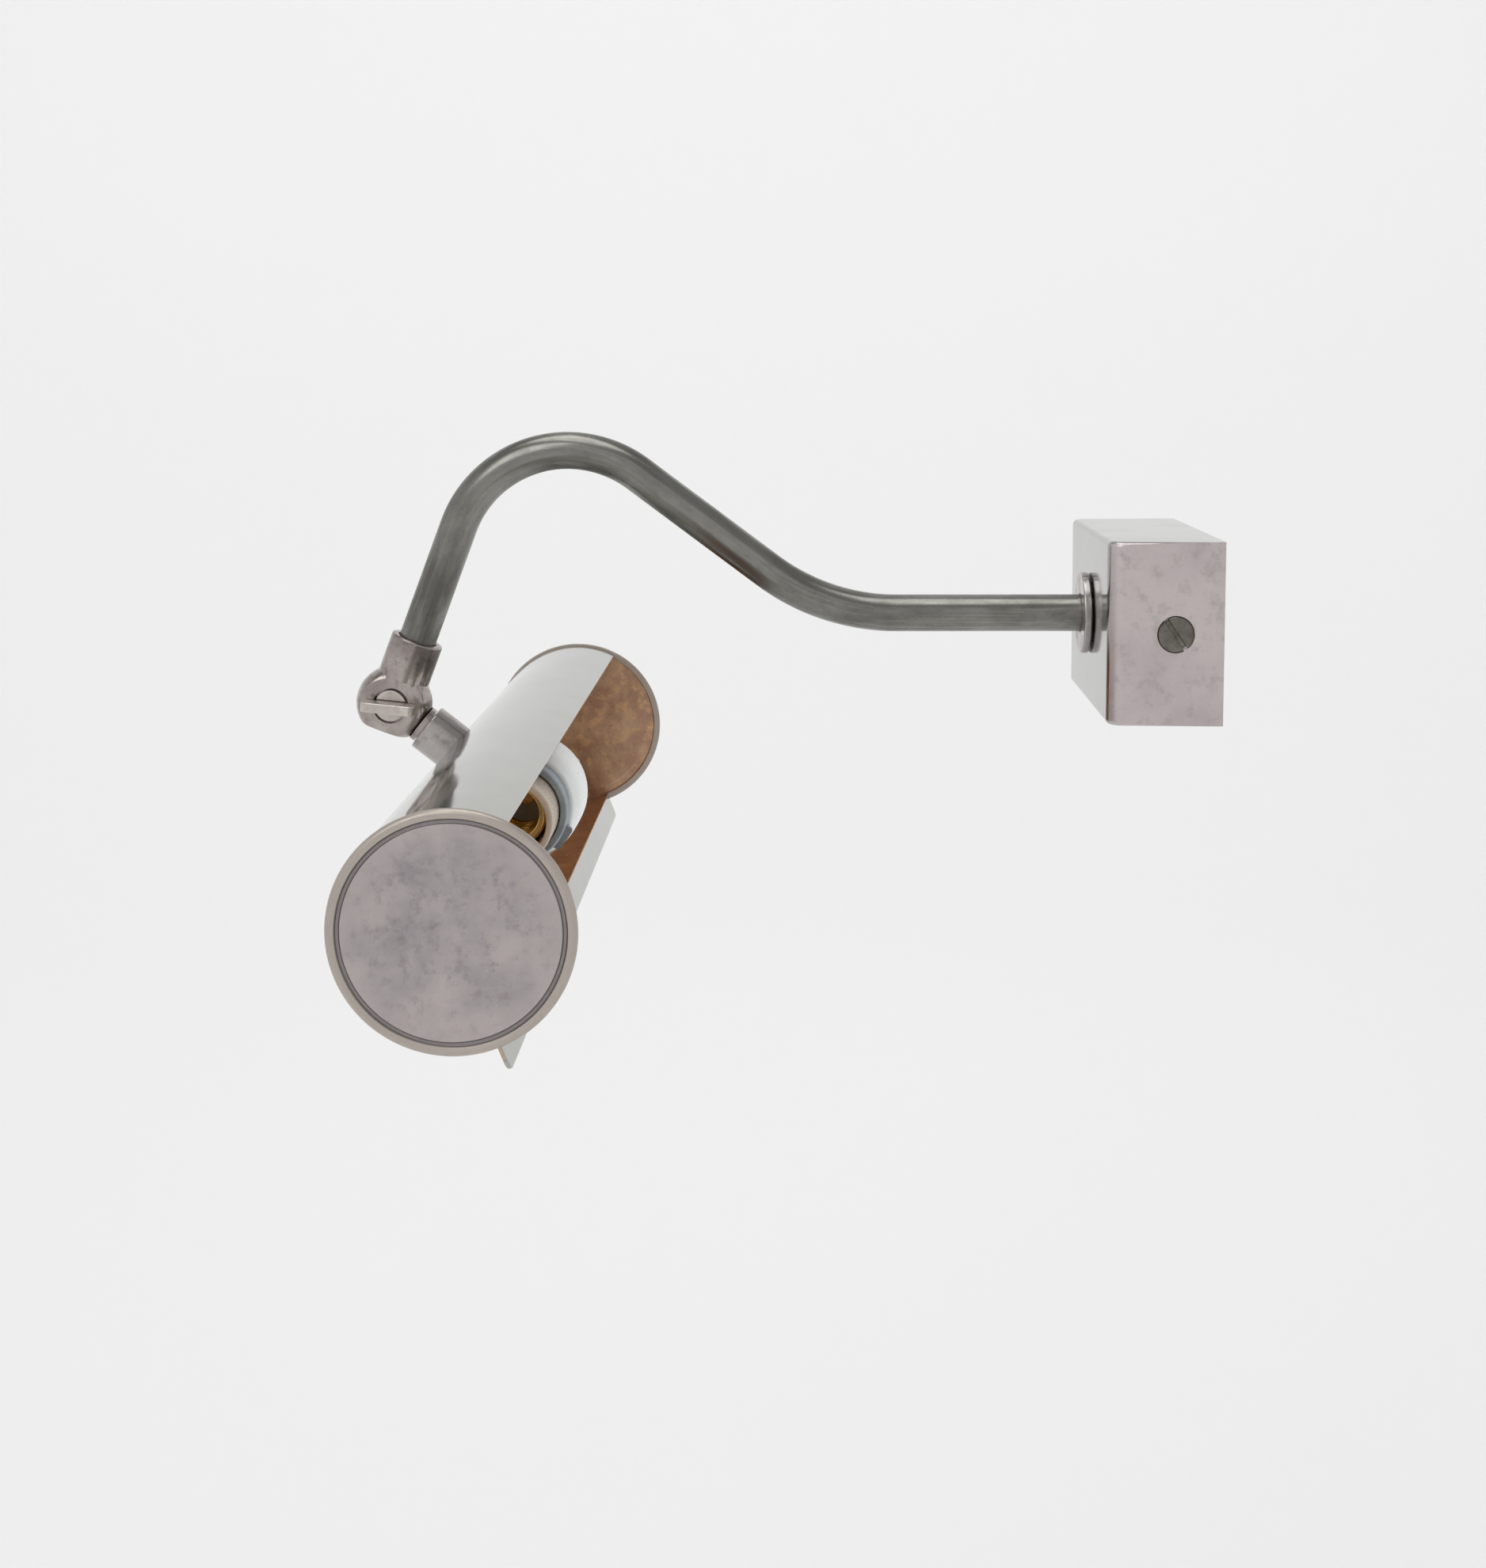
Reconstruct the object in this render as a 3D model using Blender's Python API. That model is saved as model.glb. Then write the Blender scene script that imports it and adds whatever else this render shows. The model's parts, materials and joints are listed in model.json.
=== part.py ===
"""Picture light: a wall box, a swan-neck arm, a tilting knuckle and a half-open round shade.

Metres. The wall is the plane Y = 0 and the light stands out from it towards -Y. +Z is up and
+X runs along the shade. The origin is the middle of the wall plate's rear face.

Three groups of pieces share this file. The wall box and the arm are fixed. The thumb screw
turns in the knuckle. The head, which is the shade with its lampholder, tilts about the
knuckle's pivot, so it is modelled hanging straight down from that pivot and then tilted.
"""
import math

import bmesh
import bpy
from mathutils import Matrix, Vector

# Clearances
GAP = 0.0003                    # between two pieces that touch or slide
OVERRUN = 0.002                 # how far a cutter runs past the surface it opens

# Facets
FINE_STEPS = 36                 # large turned pieces
ROUND_STEPS = 24                # medium turned pieces
SMALL_STEPS = 16                # screws, washers and rivets

# Wall box: a deep cover over a flat wall plate
BOX_LENGTH = 0.075
BOX_HEIGHT = 0.047
BOX_DEPTH = 0.0294
BOX_WALL = 0.0015
BOX_END_RADIUS = 0.004          # upright corners between the front and the ends
BOX_FRONT_RADIUS = 0.0018       # long front edges, top and bottom
PLATE_THICKNESS = 0.0015
PLATE_CORNER = 0.003
LUG_WIDTH = 0.016
LUG_PAST_SCREW = 0.0055
COVER_SCREW_FROM_WALL = 0.0123
COVER_SCREW_HEAD = 0.009
COVER_SCREW_SHANK = 0.004
COVER_SCREW_LENGTH = 0.007
COVER_SCREW_SLOT = 0.0011
COVER_SCREW_SLOT_DEPTH = 0.0008
COVER_SCREW_SLOT_ANGLE = math.radians(34)
COVER_SCREW_RIM = 0.0002        # chamfer round the head
WALL_SLOT_FROM_LUG = 0.0102
WALL_SLOT_LENGTH = 0.008
WALL_SLOT_WIDTH = 0.0045
CABLE_ENTRY_DIAMETER = 0.012
CABLE_ENTRY_X = 0.0125
CABLE_ENTRY_Z = 0.0115

# Wiring inside the wall box
BLOCK_LENGTH = 0.027
BLOCK_DEPTH = 0.012
BLOCK_HEIGHT = 0.010
BLOCK_FROM_COVER = 0.0025
POLE_COUNT = 3
POLE_SPACING = 0.008
POLE_WIRE_BORE = 0.003
POLE_SCREW = 0.0036
POLE_SCREW_LENGTH = 0.0035
EARTH_FROM_LUG = 0.0067
EARTH_Z = -0.013
EARTH_SCREW_HEAD = 0.006
EARTH_SCREW_HEAD_HEIGHT = 0.002
EARTH_SCREW_SHANK = 0.0034
EARTH_WASHER = 0.008
EARTH_WASHER_THICKNESS = 0.0008

# Arm
ARM_DIAMETER = 0.010
ARM_WALL = 0.001
ARM_HEIGHT = 0.0009             # above the middle of the box
ARM_LEVEL_RUN = 0.052           # from the front of the box
ARM_FIRST_RADIUS = 0.058
ARM_FIRST_TURN = math.radians(36.9)
ARM_RISING_RUN = 0.0434
ARM_TOP_RADIUS = 0.0315
ARM_TOP_TURN = math.radians(106.2)
ARM_FALLING_RUN = 0.0328        # to the top of the knuckle's sleeve
ARM_SEAT = 0.0055               # held inside the sleeve
ARM_FACETS = 16
ARM_STEP = math.radians(6.8)
ARM_COLLAR_DIAMETER = 0.0218
ARM_COLLAR_THICKNESS = 0.0021
ARM_COLLAR_EDGE = 0.0005
ARM_WASHER_DIAMETER = 0.017
ARM_WASHER_THICKNESS = 0.001
ARM_NUT_LAND = 0.002            # from the thread to each flat
ARM_NUT_THICKNESS = 0.0032
ARM_PAST_NUT = 0.0012
BUSH_FLANGE_LIP = 0.00025       # past the tube's outside
BUSH_FLANGE_THICKNESS = 0.001
BUSH_LENGTH = 0.006

# Knuckle: distances are from the pivot
BALL_RADIUS = 0.0102
BALL_FACE = 0.0063              # flat side faces, from the parting plane
BALL_FLAT = 0.0074              # flat end of the upper half
LOWER_BALL_RADIUS = BALL_FLAT   # the lower half hides behind the upper one
SLEEVE_WALL = 0.0017
SLEEVE_CREASE = 0.0073          # where the sleeve meets the upper half's ball
SLEEVE_TOP = 0.0184
BALL_WALL = 0.0007              # between the wire ring and the ball's flat end
WIRE_RING_BOSS = 0.0004         # wall between the washer's recess and the wire ring
WIRE_RING_DEPTH = 0.0022
SPIGOT_DIAMETER = 0.008
SPIGOT_WALL = 0.0016
NECK_SHOULDER = 0.0011          # the neck stands this far out of the spigot
THUMB_HEAD = 0.0084
THUMB_HEAD_HEIGHT = 0.0024
THUMB_EDGE = 0.0003
THUMB_RECESS_GAP = 0.0006
THUMB_RECESS_DEPTH = 0.0024
THUMB_SHANK = 0.004
THUMB_END = 0.0058              # the shank's end, past the parting plane
PADDLE_LENGTH = 0.014
PADDLE_THICKNESS = 0.0026
PADDLE_REACH = 0.0062           # how far it stands out of the knuckle's face
PADDLE_TONGUE_INSET = 0.0008    # from the screw head's rim
PADDLE_TONGUE_DEPTH = 0.0012
PADDLE_CORNER = 0.0012
PADDLE_ANGLE = math.radians(-6)
FRICTION_WASHER_LAND = 0.0014   # from its hole to its rim
FRICTION_WASHER_THICKNESS = 0.0005

# Shade, with its axis parallel to X under the pivot
HEAD_TILT = math.radians(51.5)  # away from hanging straight down
SHADE_LENGTH = 0.250            # over the end caps
SHADE_RADIUS = 0.0263
SHADE_WALL = 0.001
NECK_LENGTH = 0.0197            # from the pivot to the outside of the shade
OPENING_TOP = math.radians(11)      # angles round the shade, from the head's own +Y
OPENING_BOTTOM = math.radians(-119.5)
LIP_WIDTH = 0.0067
LIP_CORNER = 0.0025
SHADE_FACET = math.radians(6)
COLLAR_WALL = 0.0022
CAP_OVERHANG = 0.0007           # past the tube's outside
CAP_RIM_DEPTH = 0.0017
CAP_BEAD_WIDTH = 0.0024
CAP_BEAD_RISE = 0.0004
CAP_GROOVE_WIDTH = 0.0006
CAP_GROOVE_DEPTH = 0.0004
CAP_CHANNEL_WIDTH = 0.0022
CAP_CHANNEL_DEPTH = 0.0008

# Lampholder, with its mouth towards +X
WIRE_SPACE = 0.0051             # from the spigot's end to the porcelain's wire groove
HOLDER_REAR = -0.014
HOLDER_FRONT = 0.0072
HOLDER_RADIUS = 0.0163
HOLDER_FRONT_RADIUS = 0.0146
HOLDER_REAR_CHAMFER = 0.001
HOLDER_STRAIGHT = 0.005         # from the rear, before the sides draw in
HOLDER_DRAFT = 0.0002           # how far they draw in by the middle
HOLDER_SHOULDER_RADIUS = 0.0156
HOLDER_SHOULDER_HEIGHT = 0.0012
HOLDER_FLOOR_REAR = -0.0105
HOLDER_FLOOR_FRONT = -0.0082
HOLDER_REAR_CAVITY = 0.009
HOLDER_SLEEVE_SEAT = 0.0035
WIRE_GROOVE_WIDTH = 0.009
WIRE_GROOVE_FLOOR = 0.0123      # from the lampholder's axis
SLEEVE_OUTER = 0.0114
SLEEVE_INNER = 0.0095
SLEEVE_MOUTH = 0.0265
HOLDER_EDGE = 0.0004            # chamfers of the sleeve and the ring
RING_WIDTH = 0.002
RING_LENGTH = 0.0065
RING_LUG_REACH = 0.0018
RING_LUG_WIDTH = 0.007
RING_LUG_THICKNESS = 0.0015
RING_LUG_ANGLE = math.radians(-86.5)
SHELL_RADIUS = 0.0076
SHELL_WALL = 0.0005
SHELL_FRONT = 0.017
SHELL_FLARE = 0.0009
SHELL_FLARE_LENGTH = 0.001
CONTACT_HEAD = 0.005
CONTACT_THICKNESS = 0.0012
CONTACT_SHANK = 0.002
CONTACT_TAIL = 0.0012
NEUTRAL_OFFSET = 0.0056
NEUTRAL_HEAD = 0.003
BRACKET_WIDTH = 0.014
BRACKET_THICKNESS = 0.0012
BRACKET_FRONT = 0.0085
BRACKET_PLATE_WIDTH = 0.030
BRACKET_PLATE_HEIGHT = 0.018
HOLDER_SCREW_SPACING = 0.025
HOLDER_SCREW_HEAD = 0.005
HOLDER_SCREW_HEAD_HEIGHT = 0.0016
HOLDER_SCREW_SHANK = 0.0026
HOLDER_SCREW_GRIP = 0.0045
SHADE_NUT_LAND = 0.002          # from the thread to each flat
SHADE_NUT_THICKNESS = 0.0026
SPIGOT_PAST_NUT = 0.0004

# Cores and cable
CABLE_DIAMETER = 0.0046
CORE_DIAMETER = 0.0015
CORE_SPREAD = 0.0011            # each core's distance from the middle of the bore

# Finishes: colour, roughness, metallic
AGED_NICKEL = ((0.46, 0.43, 0.42), 0.36, 1.0)
POLISHED_NICKEL = ((0.53, 0.53, 0.50), 0.14, 1.0)
DARK_NICKEL = ((0.13, 0.13, 0.12), 0.30, 1.0)
BRASS = ((0.66, 0.47, 0.18), 0.25, 1.0)
ZINC = ((0.42, 0.43, 0.44), 0.45, 1.0)
GREY_METAL = ((0.27, 0.31, 0.34), 0.50, 0.8)
PORCELAIN = ((0.86, 0.90, 0.88), 0.18, 0.0)
CREAM = ((0.72, 0.66, 0.56), 0.40, 0.0)
BLACK_PLASTIC = ((0.03, 0.03, 0.03), 0.45, 0.0)
WHITE_PLASTIC = ((0.80, 0.80, 0.78), 0.45, 0.0)
BROWN_CORE = ((0.20, 0.09, 0.04), 0.45, 0.0)
BLUE_CORE = ((0.04, 0.12, 0.45), 0.45, 0.0)
GREEN_CORE = ((0.25, 0.45, 0.05), 0.45, 0.0)

ALONG_X = (0.0, math.pi / 2, 0.0)           # turns local +Z to +X
ALONG_MINUS_X = (0.0, -math.pi / 2, 0.0)
OUT_OF_WALL = (math.pi / 2, 0.0, 0.0)       # turns local +Z to -Y


# ---------------------------------------------------------------- meshes

def cylinder(radius, low, high, steps=ROUND_STEPS, top_radius=None):
    """Solid cylinder or cone on local Z."""
    bm = bmesh.new()
    upper = radius if top_radius is None else top_radius
    middle = Matrix.Translation((0, 0, (low + high) / 2))
    bmesh.ops.create_cone(bm, cap_ends=True, segments=steps, radius1=radius, radius2=upper,
                          depth=high - low, matrix=middle)
    return bm


def block(low, high):
    """Box between two corners."""
    bm = bmesh.new()
    bmesh.ops.create_cube(bm, size=1.0)
    bmesh.ops.scale(bm, vec=Vector(high) - Vector(low), verts=bm.verts)
    bmesh.ops.translate(bm, vec=(Vector(high) + Vector(low)) / 2, verts=bm.verts)
    return bm


def turned(profile, steps=ROUND_STEPS):
    """Solid of revolution on local Z, from (radius, height) points.

    The profile is a chain when both ends are on the axis, and a closed loop otherwise.
    """
    bm = bmesh.new()
    points = [bm.verts.new((radius, 0, height)) for radius, height in profile]
    on_axis = profile[0][0] == 0 and profile[-1][0] == 0
    chain = points if on_axis else points + points[:1]
    for one, two in zip(chain, chain[1:]):
        bm.edges.new((one, two))
    bmesh.ops.spin(bm, geom=list(bm.verts) + list(bm.edges), axis=(0, 0, 1), cent=(0, 0, 0),
                   angle=math.tau, steps=steps, use_merge=True)
    bmesh.ops.remove_doubles(bm, verts=bm.verts, dist=1e-7)
    bmesh.ops.recalc_face_normals(bm, faces=bm.faces)
    return bm


def ring(inner, outer, low, high, steps=ROUND_STEPS):
    """Flat ring or tube on local Z."""
    return turned([(inner, low), (outer, low), (outer, high), (inner, high)], steps)


def extruded(outline, push):
    """Prism from a flat outline of 3-D points, pushed along a vector."""
    bm = bmesh.new()
    face = bm.faces.new([bm.verts.new(point) for point in outline])
    result = bmesh.ops.extrude_face_region(bm, geom=[face])
    moved = [item for item in result["geom"] if isinstance(item, bmesh.types.BMVert)]
    bmesh.ops.translate(bm, vec=push, verts=moved)
    bmesh.ops.recalc_face_normals(bm, faces=bm.faces)
    return bm


def arc(centre, radius, start, end, step):
    """Points on an arc in a plane, ends included."""
    count = max(2, math.ceil(abs(end - start) / step))
    angles = [start + (end - start) * index / count for index in range(count + 1)]
    return [(centre[0] + radius * math.cos(angle), centre[1] + radius * math.sin(angle))
            for angle in angles]


def bevel_edges(bm, chosen, width, segments):
    """Round the chosen edges of a mesh."""
    edges = [edge for edge in bm.edges if chosen(edge)]
    bmesh.ops.bevel(bm, geom=edges, offset=width, offset_type="OFFSET", segments=segments,
                    profile=0.5, affect="EDGES", clamp_overlap=True)


def hexagon(flats, low, high):
    """Hexagonal bar on local Z."""
    return cylinder(flats / math.sqrt(3), low, high, steps=6)


# ---------------------------------------------------------------- objects

def make_material(name, finish):
    colour, roughness, metallic = finish
    material = bpy.data.materials.new(name)
    material.use_nodes = True
    shader = material.node_tree.nodes["Principled BSDF"]
    shader.inputs["Base Color"].default_value = (*colour, 1.0)
    shader.inputs["Roughness"].default_value = roughness
    shader.inputs["Metallic"].default_value = metallic
    return material


def place(name, data, parent, location, rotation):
    item = bpy.data.objects.new(name, data)
    bpy.context.scene.collection.objects.link(item)
    item.parent = parent
    item.location = location
    item.rotation_euler = rotation
    return item


def empty(name, location, rotation=(0, 0, 0)):
    return place(name, None, None, location, rotation)


def piece(name, bm, finish, parent=None, location=(0, 0, 0), rotation=(0, 0, 0)):
    """Turn a mesh into one named sub-part with its own material."""
    mesh = bpy.data.meshes.new(name)
    bm.to_mesh(mesh)
    bm.free()
    mesh.shade_smooth()
    mesh.set_sharp_from_angle(angle=math.radians(35))
    mesh.materials.append(make_material(name, finish))
    return place(name, mesh, parent, location, rotation)


def tool(bm, parent=None, location=(0, 0, 0), rotation=(0, 0, 0)):
    """Turn a mesh into a hidden shape that a Boolean modifier uses."""
    mesh = bpy.data.meshes.new("tool")
    bm.to_mesh(mesh)
    bm.free()
    item = place("tool", mesh, parent, location, rotation)
    item.hide_render = True
    item.display_type = "WIRE"
    return item


def boolean(target, other, operation):
    modifier = target.modifiers.new(operation.lower(), "BOOLEAN")
    modifier.operation = operation
    modifier.solver = "EXACT"
    modifier.object = other


def use_manifold_solver(target):
    """For a piece whose many near-tangent cuts the exact solver leaves open."""
    for modifier in target.modifiers:
        modifier.solver = "MANIFOLD"


def cut(target, bm, parent=None, location=(0, 0, 0), rotation=(0, 0, 0)):
    boolean(target, tool(bm, parent, location, rotation), "DIFFERENCE")


def join(target, bm, parent=None, location=(0, 0, 0), rotation=(0, 0, 0)):
    boolean(target, tool(bm, parent, location, rotation), "UNION")


def smooth_route(points, spacing):
    """Points on a smooth curve through a route's own points."""
    ends = [2 * points[0] - points[1], *points, 2 * points[-1] - points[-2]]
    route = []
    for before, start, end, after in zip(ends, ends[1:], ends[2:], ends[3:]):
        count = max(2, round((end - start).length / spacing))
        for index in range(count):
            t = index / count
            route.append(0.5 * (2 * start + (end - before) * t
                                + (2 * before - 5 * start + 4 * end - after) * t * t
                                + (3 * start - before - 3 * end + after) * t ** 3))
    return route + [points[-1]]


def curve_data(name, points, diameter, resolution, capped):
    """Round section swept along a line of points."""
    curve = bpy.data.curves.new(name, "CURVE")
    curve.dimensions = "3D"
    curve.bevel_depth = diameter / 2
    curve.bevel_resolution = resolution
    curve.use_fill_caps = capped
    spline = curve.splines.new("POLY")
    spline.points.add(len(points) - 1)
    for target, point in zip(spline.points, points):
        target.co = (*point, 1.0)
    return curve


def wire(name, points, diameter, finish, parent=None, resolution=2):
    curve = curve_data(name, points, diameter, resolution, capped=True)
    curve.materials.append(make_material(name, finish))
    return place(name, curve, parent, (0, 0, 0), (0, 0, 0))


def slot_cutter(length, width, low, high):
    """Prism for a screwdriver slot, centred on local Z."""
    return block((-length / 2, -width / 2, low), (length / 2, width / 2, high))


# ---------------------------------------------------------------- arm line

def heading_vector(heading):
    """Direction of the arm's line: zero points straight out from the wall, up is positive."""
    return Vector((0, -math.cos(heading), math.sin(heading)))


def bend(points, heading, radius, turn):
    """Add a bend to a line of points and return the new heading."""
    side = math.copysign(1, turn)
    across = Vector((0, math.sin(heading), math.cos(heading))) * side
    centre = points[-1] + across * radius
    count = math.ceil(abs(turn) / ARM_STEP)
    for index in range(1, count + 1):
        angle = heading + turn * index / count
        across = Vector((0, math.sin(angle), math.cos(angle))) * side
        points.append(centre - across * radius)
    return heading + turn


def arm_line(start_y):
    """Centre line of the arm to the top of the knuckle's sleeve, and its last direction."""
    points = [Vector((0, start_y, ARM_HEIGHT)), Vector((0, -BOX_DEPTH - ARM_LEVEL_RUN, ARM_HEIGHT))]
    heading = bend(points, 0.0, ARM_FIRST_RADIUS, ARM_FIRST_TURN)
    points.append(points[-1] + heading_vector(heading) * ARM_RISING_RUN)
    heading = bend(points, heading, ARM_TOP_RADIUS, -ARM_TOP_TURN)
    points.append(points[-1] + heading_vector(heading) * ARM_FALLING_RUN)
    return points, heading_vector(heading)


# Places worked out from the sizes above
BOX_INSIDE_FRONT = -(BOX_DEPTH - BOX_WALL)
WASHER_FRONT = BOX_INSIDE_FRONT + GAP
NUT_FRONT = WASHER_FRONT + ARM_WASHER_THICKNESS + GAP
ARM_START = NUT_FRONT + ARM_NUT_THICKNESS + ARM_PAST_NUT
ARM_POINTS, ARM_END_DIRECTION = arm_line(ARM_START)
PIVOT = ARM_POINTS[-1] + ARM_END_DIRECTION * SLEEVE_TOP
ARM_END_TILT = math.atan2(ARM_END_DIRECTION.y, -ARM_END_DIRECTION.z)
BORE_CLEAR = ARM_DIAMETER / 2 + GAP
PLATE_HALF_LENGTH = BOX_LENGTH / 2 - BOX_WALL - GAP
LUG_INSIDE = PLATE_HALF_LENGTH - PLATE_THICKNESS
EARTH_X = LUG_INSIDE - EARTH_FROM_LUG
BLOCK_Z = -(BOX_HEIGHT / 2 - BOX_WALL - BLOCK_FROM_COVER - BLOCK_HEIGHT / 2)
BALL_CLEARANCE = BALL_RADIUS + GAP
THUMB_BORE = THUMB_SHANK / 2 + GAP
FRICTION_WASHER_RADIUS = THUMB_BORE + FRICTION_WASHER_LAND
WIRE_RING_INNER = FRICTION_WASHER_RADIUS + GAP + WIRE_RING_BOSS
WIRE_RING_OUTER = BALL_FLAT - BALL_WALL
WIRE_RING_MIDDLE = (WIRE_RING_INNER + WIRE_RING_OUTER) / 2
SPIGOT_BORE = SPIGOT_DIAMETER / 2 - SPIGOT_WALL
SPIGOT_CLEAR = SPIGOT_DIAMETER / 2 + GAP
PIVOT_TO_SHADE = SHADE_RADIUS + NECK_LENGTH
SHADE_INNER = SHADE_RADIUS - SHADE_WALL
LIP_RADIUS = SHADE_RADIUS + LIP_WIDTH
CAP_RADIUS = SHADE_RADIUS + CAP_OVERHANG
FOOT_TOP = math.sqrt(SHADE_INNER ** 2 - (BRACKET_WIDTH / 2) ** 2) - GAP
SHADE_NUT_TOP = FOOT_TOP - BRACKET_THICKNESS - GAP
SPIGOT_END = SHADE_NUT_TOP - SHADE_NUT_THICKNESS - SPIGOT_PAST_NUT
HOLDER_OFFSET = SPIGOT_END - WIRE_SPACE - WIRE_GROOVE_FLOOR     # from the shade's axis
HOLDER_Z = HOLDER_OFFSET - PIVOT_TO_SHADE


# ---------------------------------------------------------------- wall box

def rounded_cover(length, height, depth, rear, end_radius, front_radius):
    """Closed block with rounded upright front corners and rounded long front edges."""
    bm = block((-length / 2, -depth, -height / 2), (length / 2, rear, height / 2))
    front = -depth + 1e-6
    bevel_edges(bm, lambda edge: all(v.co.y < front for v in edge.verts)
                and abs(edge.verts[0].co.z - edge.verts[1].co.z) > height / 2, end_radius, 6)
    reach = -depth + end_radius + 1e-6
    bevel_edges(bm, lambda edge: all(v.co.y < reach for v in edge.verts)
                and abs(edge.verts[0].co.z - edge.verts[1].co.z) < 1e-6, front_radius, 3)
    return bm


def build_cover():
    outer = rounded_cover(BOX_LENGTH, BOX_HEIGHT, BOX_DEPTH, 0.0, BOX_END_RADIUS,
                          BOX_FRONT_RADIUS)
    cover = piece("box_cover", outer, AGED_NICKEL)
    inner = rounded_cover(BOX_LENGTH - 2 * BOX_WALL, BOX_HEIGHT - 2 * BOX_WALL,
                          BOX_DEPTH - BOX_WALL, OVERRUN, BOX_END_RADIUS - BOX_WALL,
                          BOX_FRONT_RADIUS - BOX_WALL)
    cut(cover, inner)
    cut(cover, cylinder(BORE_CLEAR, -OVERRUN, BOX_WALL + OVERRUN), None,
        (0, -BOX_DEPTH + BOX_WALL, ARM_HEIGHT), OUT_OF_WALL)
    head = COVER_SCREW_HEAD / 2 + GAP
    for rotation, side in ((ALONG_X, 1), (ALONG_MINUS_X, -1)):
        # the countersink runs at 45 degrees through the wall, past both of its faces
        sink = cylinder(head - BOX_WALL - OVERRUN / 2, -BOX_WALL - OVERRUN / 2, OVERRUN / 2,
                        SMALL_STEPS, head + OVERRUN / 2)
        cut(cover, sink, None, (side * BOX_LENGTH / 2, -COVER_SCREW_FROM_WALL, 0), rotation)


def build_cover_screw(name, side):
    """Slotted countersunk screw, flush in the end of the cover and threaded in the lug."""
    head = COVER_SCREW_HEAD / 2
    shank = COVER_SCREW_SHANK / 2
    rim = COVER_SCREW_RIM
    profile = [(0, rim), (head - rim, rim), (head, 0), (head, -rim),
               (head - BOX_WALL, -rim - BOX_WALL), (shank, -rim - BOX_WALL),
               (shank, -COVER_SCREW_LENGTH), (0, -COVER_SCREW_LENGTH)]
    rotation = ALONG_X if side > 0 else ALONG_MINUS_X
    place_at = (side * BOX_LENGTH / 2, -COVER_SCREW_FROM_WALL, 0)
    screw = piece(name, turned(profile, ROUND_STEPS), AGED_NICKEL, None, place_at, rotation)
    slot = slot_cutter(COVER_SCREW_HEAD + OVERRUN, COVER_SCREW_SLOT, -COVER_SCREW_SLOT_DEPTH,
                       OVERRUN)
    bmesh.ops.rotate(slot, verts=slot.verts, cent=(0, 0, 0),
                     matrix=Matrix.Rotation(COVER_SCREW_SLOT_ANGLE * side, 3, "Z"))
    cut(screw, slot, None, place_at, rotation)


def build_wall_plate():
    half_x = PLATE_HALF_LENGTH
    half_z = BOX_HEIGHT / 2 - BOX_WALL - GAP
    plate = block((-half_x, -PLATE_THICKNESS, -half_z), (half_x, 0, half_z))
    bevel_edges(plate, lambda edge: abs(edge.verts[0].co.y - edge.verts[1].co.y) > 1e-6,
                PLATE_CORNER, 3)
    back = piece("back_plate", plate, ZINC)
    lug_end = -COVER_SCREW_FROM_WALL - LUG_PAST_SCREW
    for side in (-1, 1):
        near, far = sorted((side * half_x, side * LUG_INSIDE))
        join(back, block((near, lug_end, -LUG_WIDTH / 2),
                         (far, -PLATE_THICKNESS / 2, LUG_WIDTH / 2)))
        cut(back, cylinder(COVER_SCREW_SHANK / 2 + GAP, -OVERRUN, OVERRUN, SMALL_STEPS), None,
            (side * (half_x - PLATE_THICKNESS / 2), -COVER_SCREW_FROM_WALL, 0), ALONG_X)
        straight = (WALL_SLOT_LENGTH - WALL_SLOT_WIDTH) / 2
        end = arc((straight, 0), WALL_SLOT_WIDTH / 2, -math.pi / 2, math.pi / 2, math.pi / 6)
        outline = end + [(-x, -z) for x, z in end]
        middle = side * (LUG_INSIDE - WALL_SLOT_FROM_LUG)
        cut(back, extruded([(middle + x, -PLATE_THICKNESS - OVERRUN, z) for x, z in outline],
                           (0, PLATE_THICKNESS + 2 * OVERRUN, 0)))
    for x, z, diameter in ((CABLE_ENTRY_X, CABLE_ENTRY_Z, CABLE_ENTRY_DIAMETER),
                           (EARTH_X, EARTH_Z, EARTH_SCREW_SHANK + 2 * GAP)):
        cut(back, cylinder(diameter / 2, -OVERRUN, PLATE_THICKNESS + OVERRUN), None, (x, 0, z),
            OUT_OF_WALL)


def build_terminal_block():
    rear = -PLATE_THICKNESS - GAP
    front = rear - BLOCK_DEPTH
    body = block((-BLOCK_LENGTH / 2, front, BLOCK_Z - BLOCK_HEIGHT / 2),
                 (BLOCK_LENGTH / 2, rear, BLOCK_Z + BLOCK_HEIGHT / 2))
    housing = piece("terminal_block", body, WHITE_PLASTIC)
    for index in range(POLE_COUNT):
        x = (index - (POLE_COUNT - 1) / 2) * POLE_SPACING
        cut(housing, cylinder(POLE_SCREW / 2 + GAP, 0, BLOCK_DEPTH / 2 + OVERRUN, SMALL_STEPS),
            None, (x, rear - BLOCK_DEPTH / 2, BLOCK_Z), OUT_OF_WALL)
        cut(housing, cylinder(POLE_WIRE_BORE / 2, -BLOCK_HEIGHT, BLOCK_HEIGHT, SMALL_STEPS),
            None, (x, rear - BLOCK_DEPTH / 2, BLOCK_Z))
        screw_top = front + GAP
        screw = piece(f"terminal_screw_{index + 1}",
                      cylinder(POLE_SCREW / 2, 0, POLE_SCREW_LENGTH, SMALL_STEPS), BRASS,
                      None, (x, screw_top + POLE_SCREW_LENGTH, BLOCK_Z), OUT_OF_WALL)
        cut(screw, slot_cutter(POLE_SCREW + OVERRUN, POLE_SCREW / 5, POLE_SCREW_LENGTH * 0.75,
                               POLE_SCREW_LENGTH + OVERRUN),
            None, (x, screw_top + POLE_SCREW_LENGTH, BLOCK_Z), OUT_OF_WALL)


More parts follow.
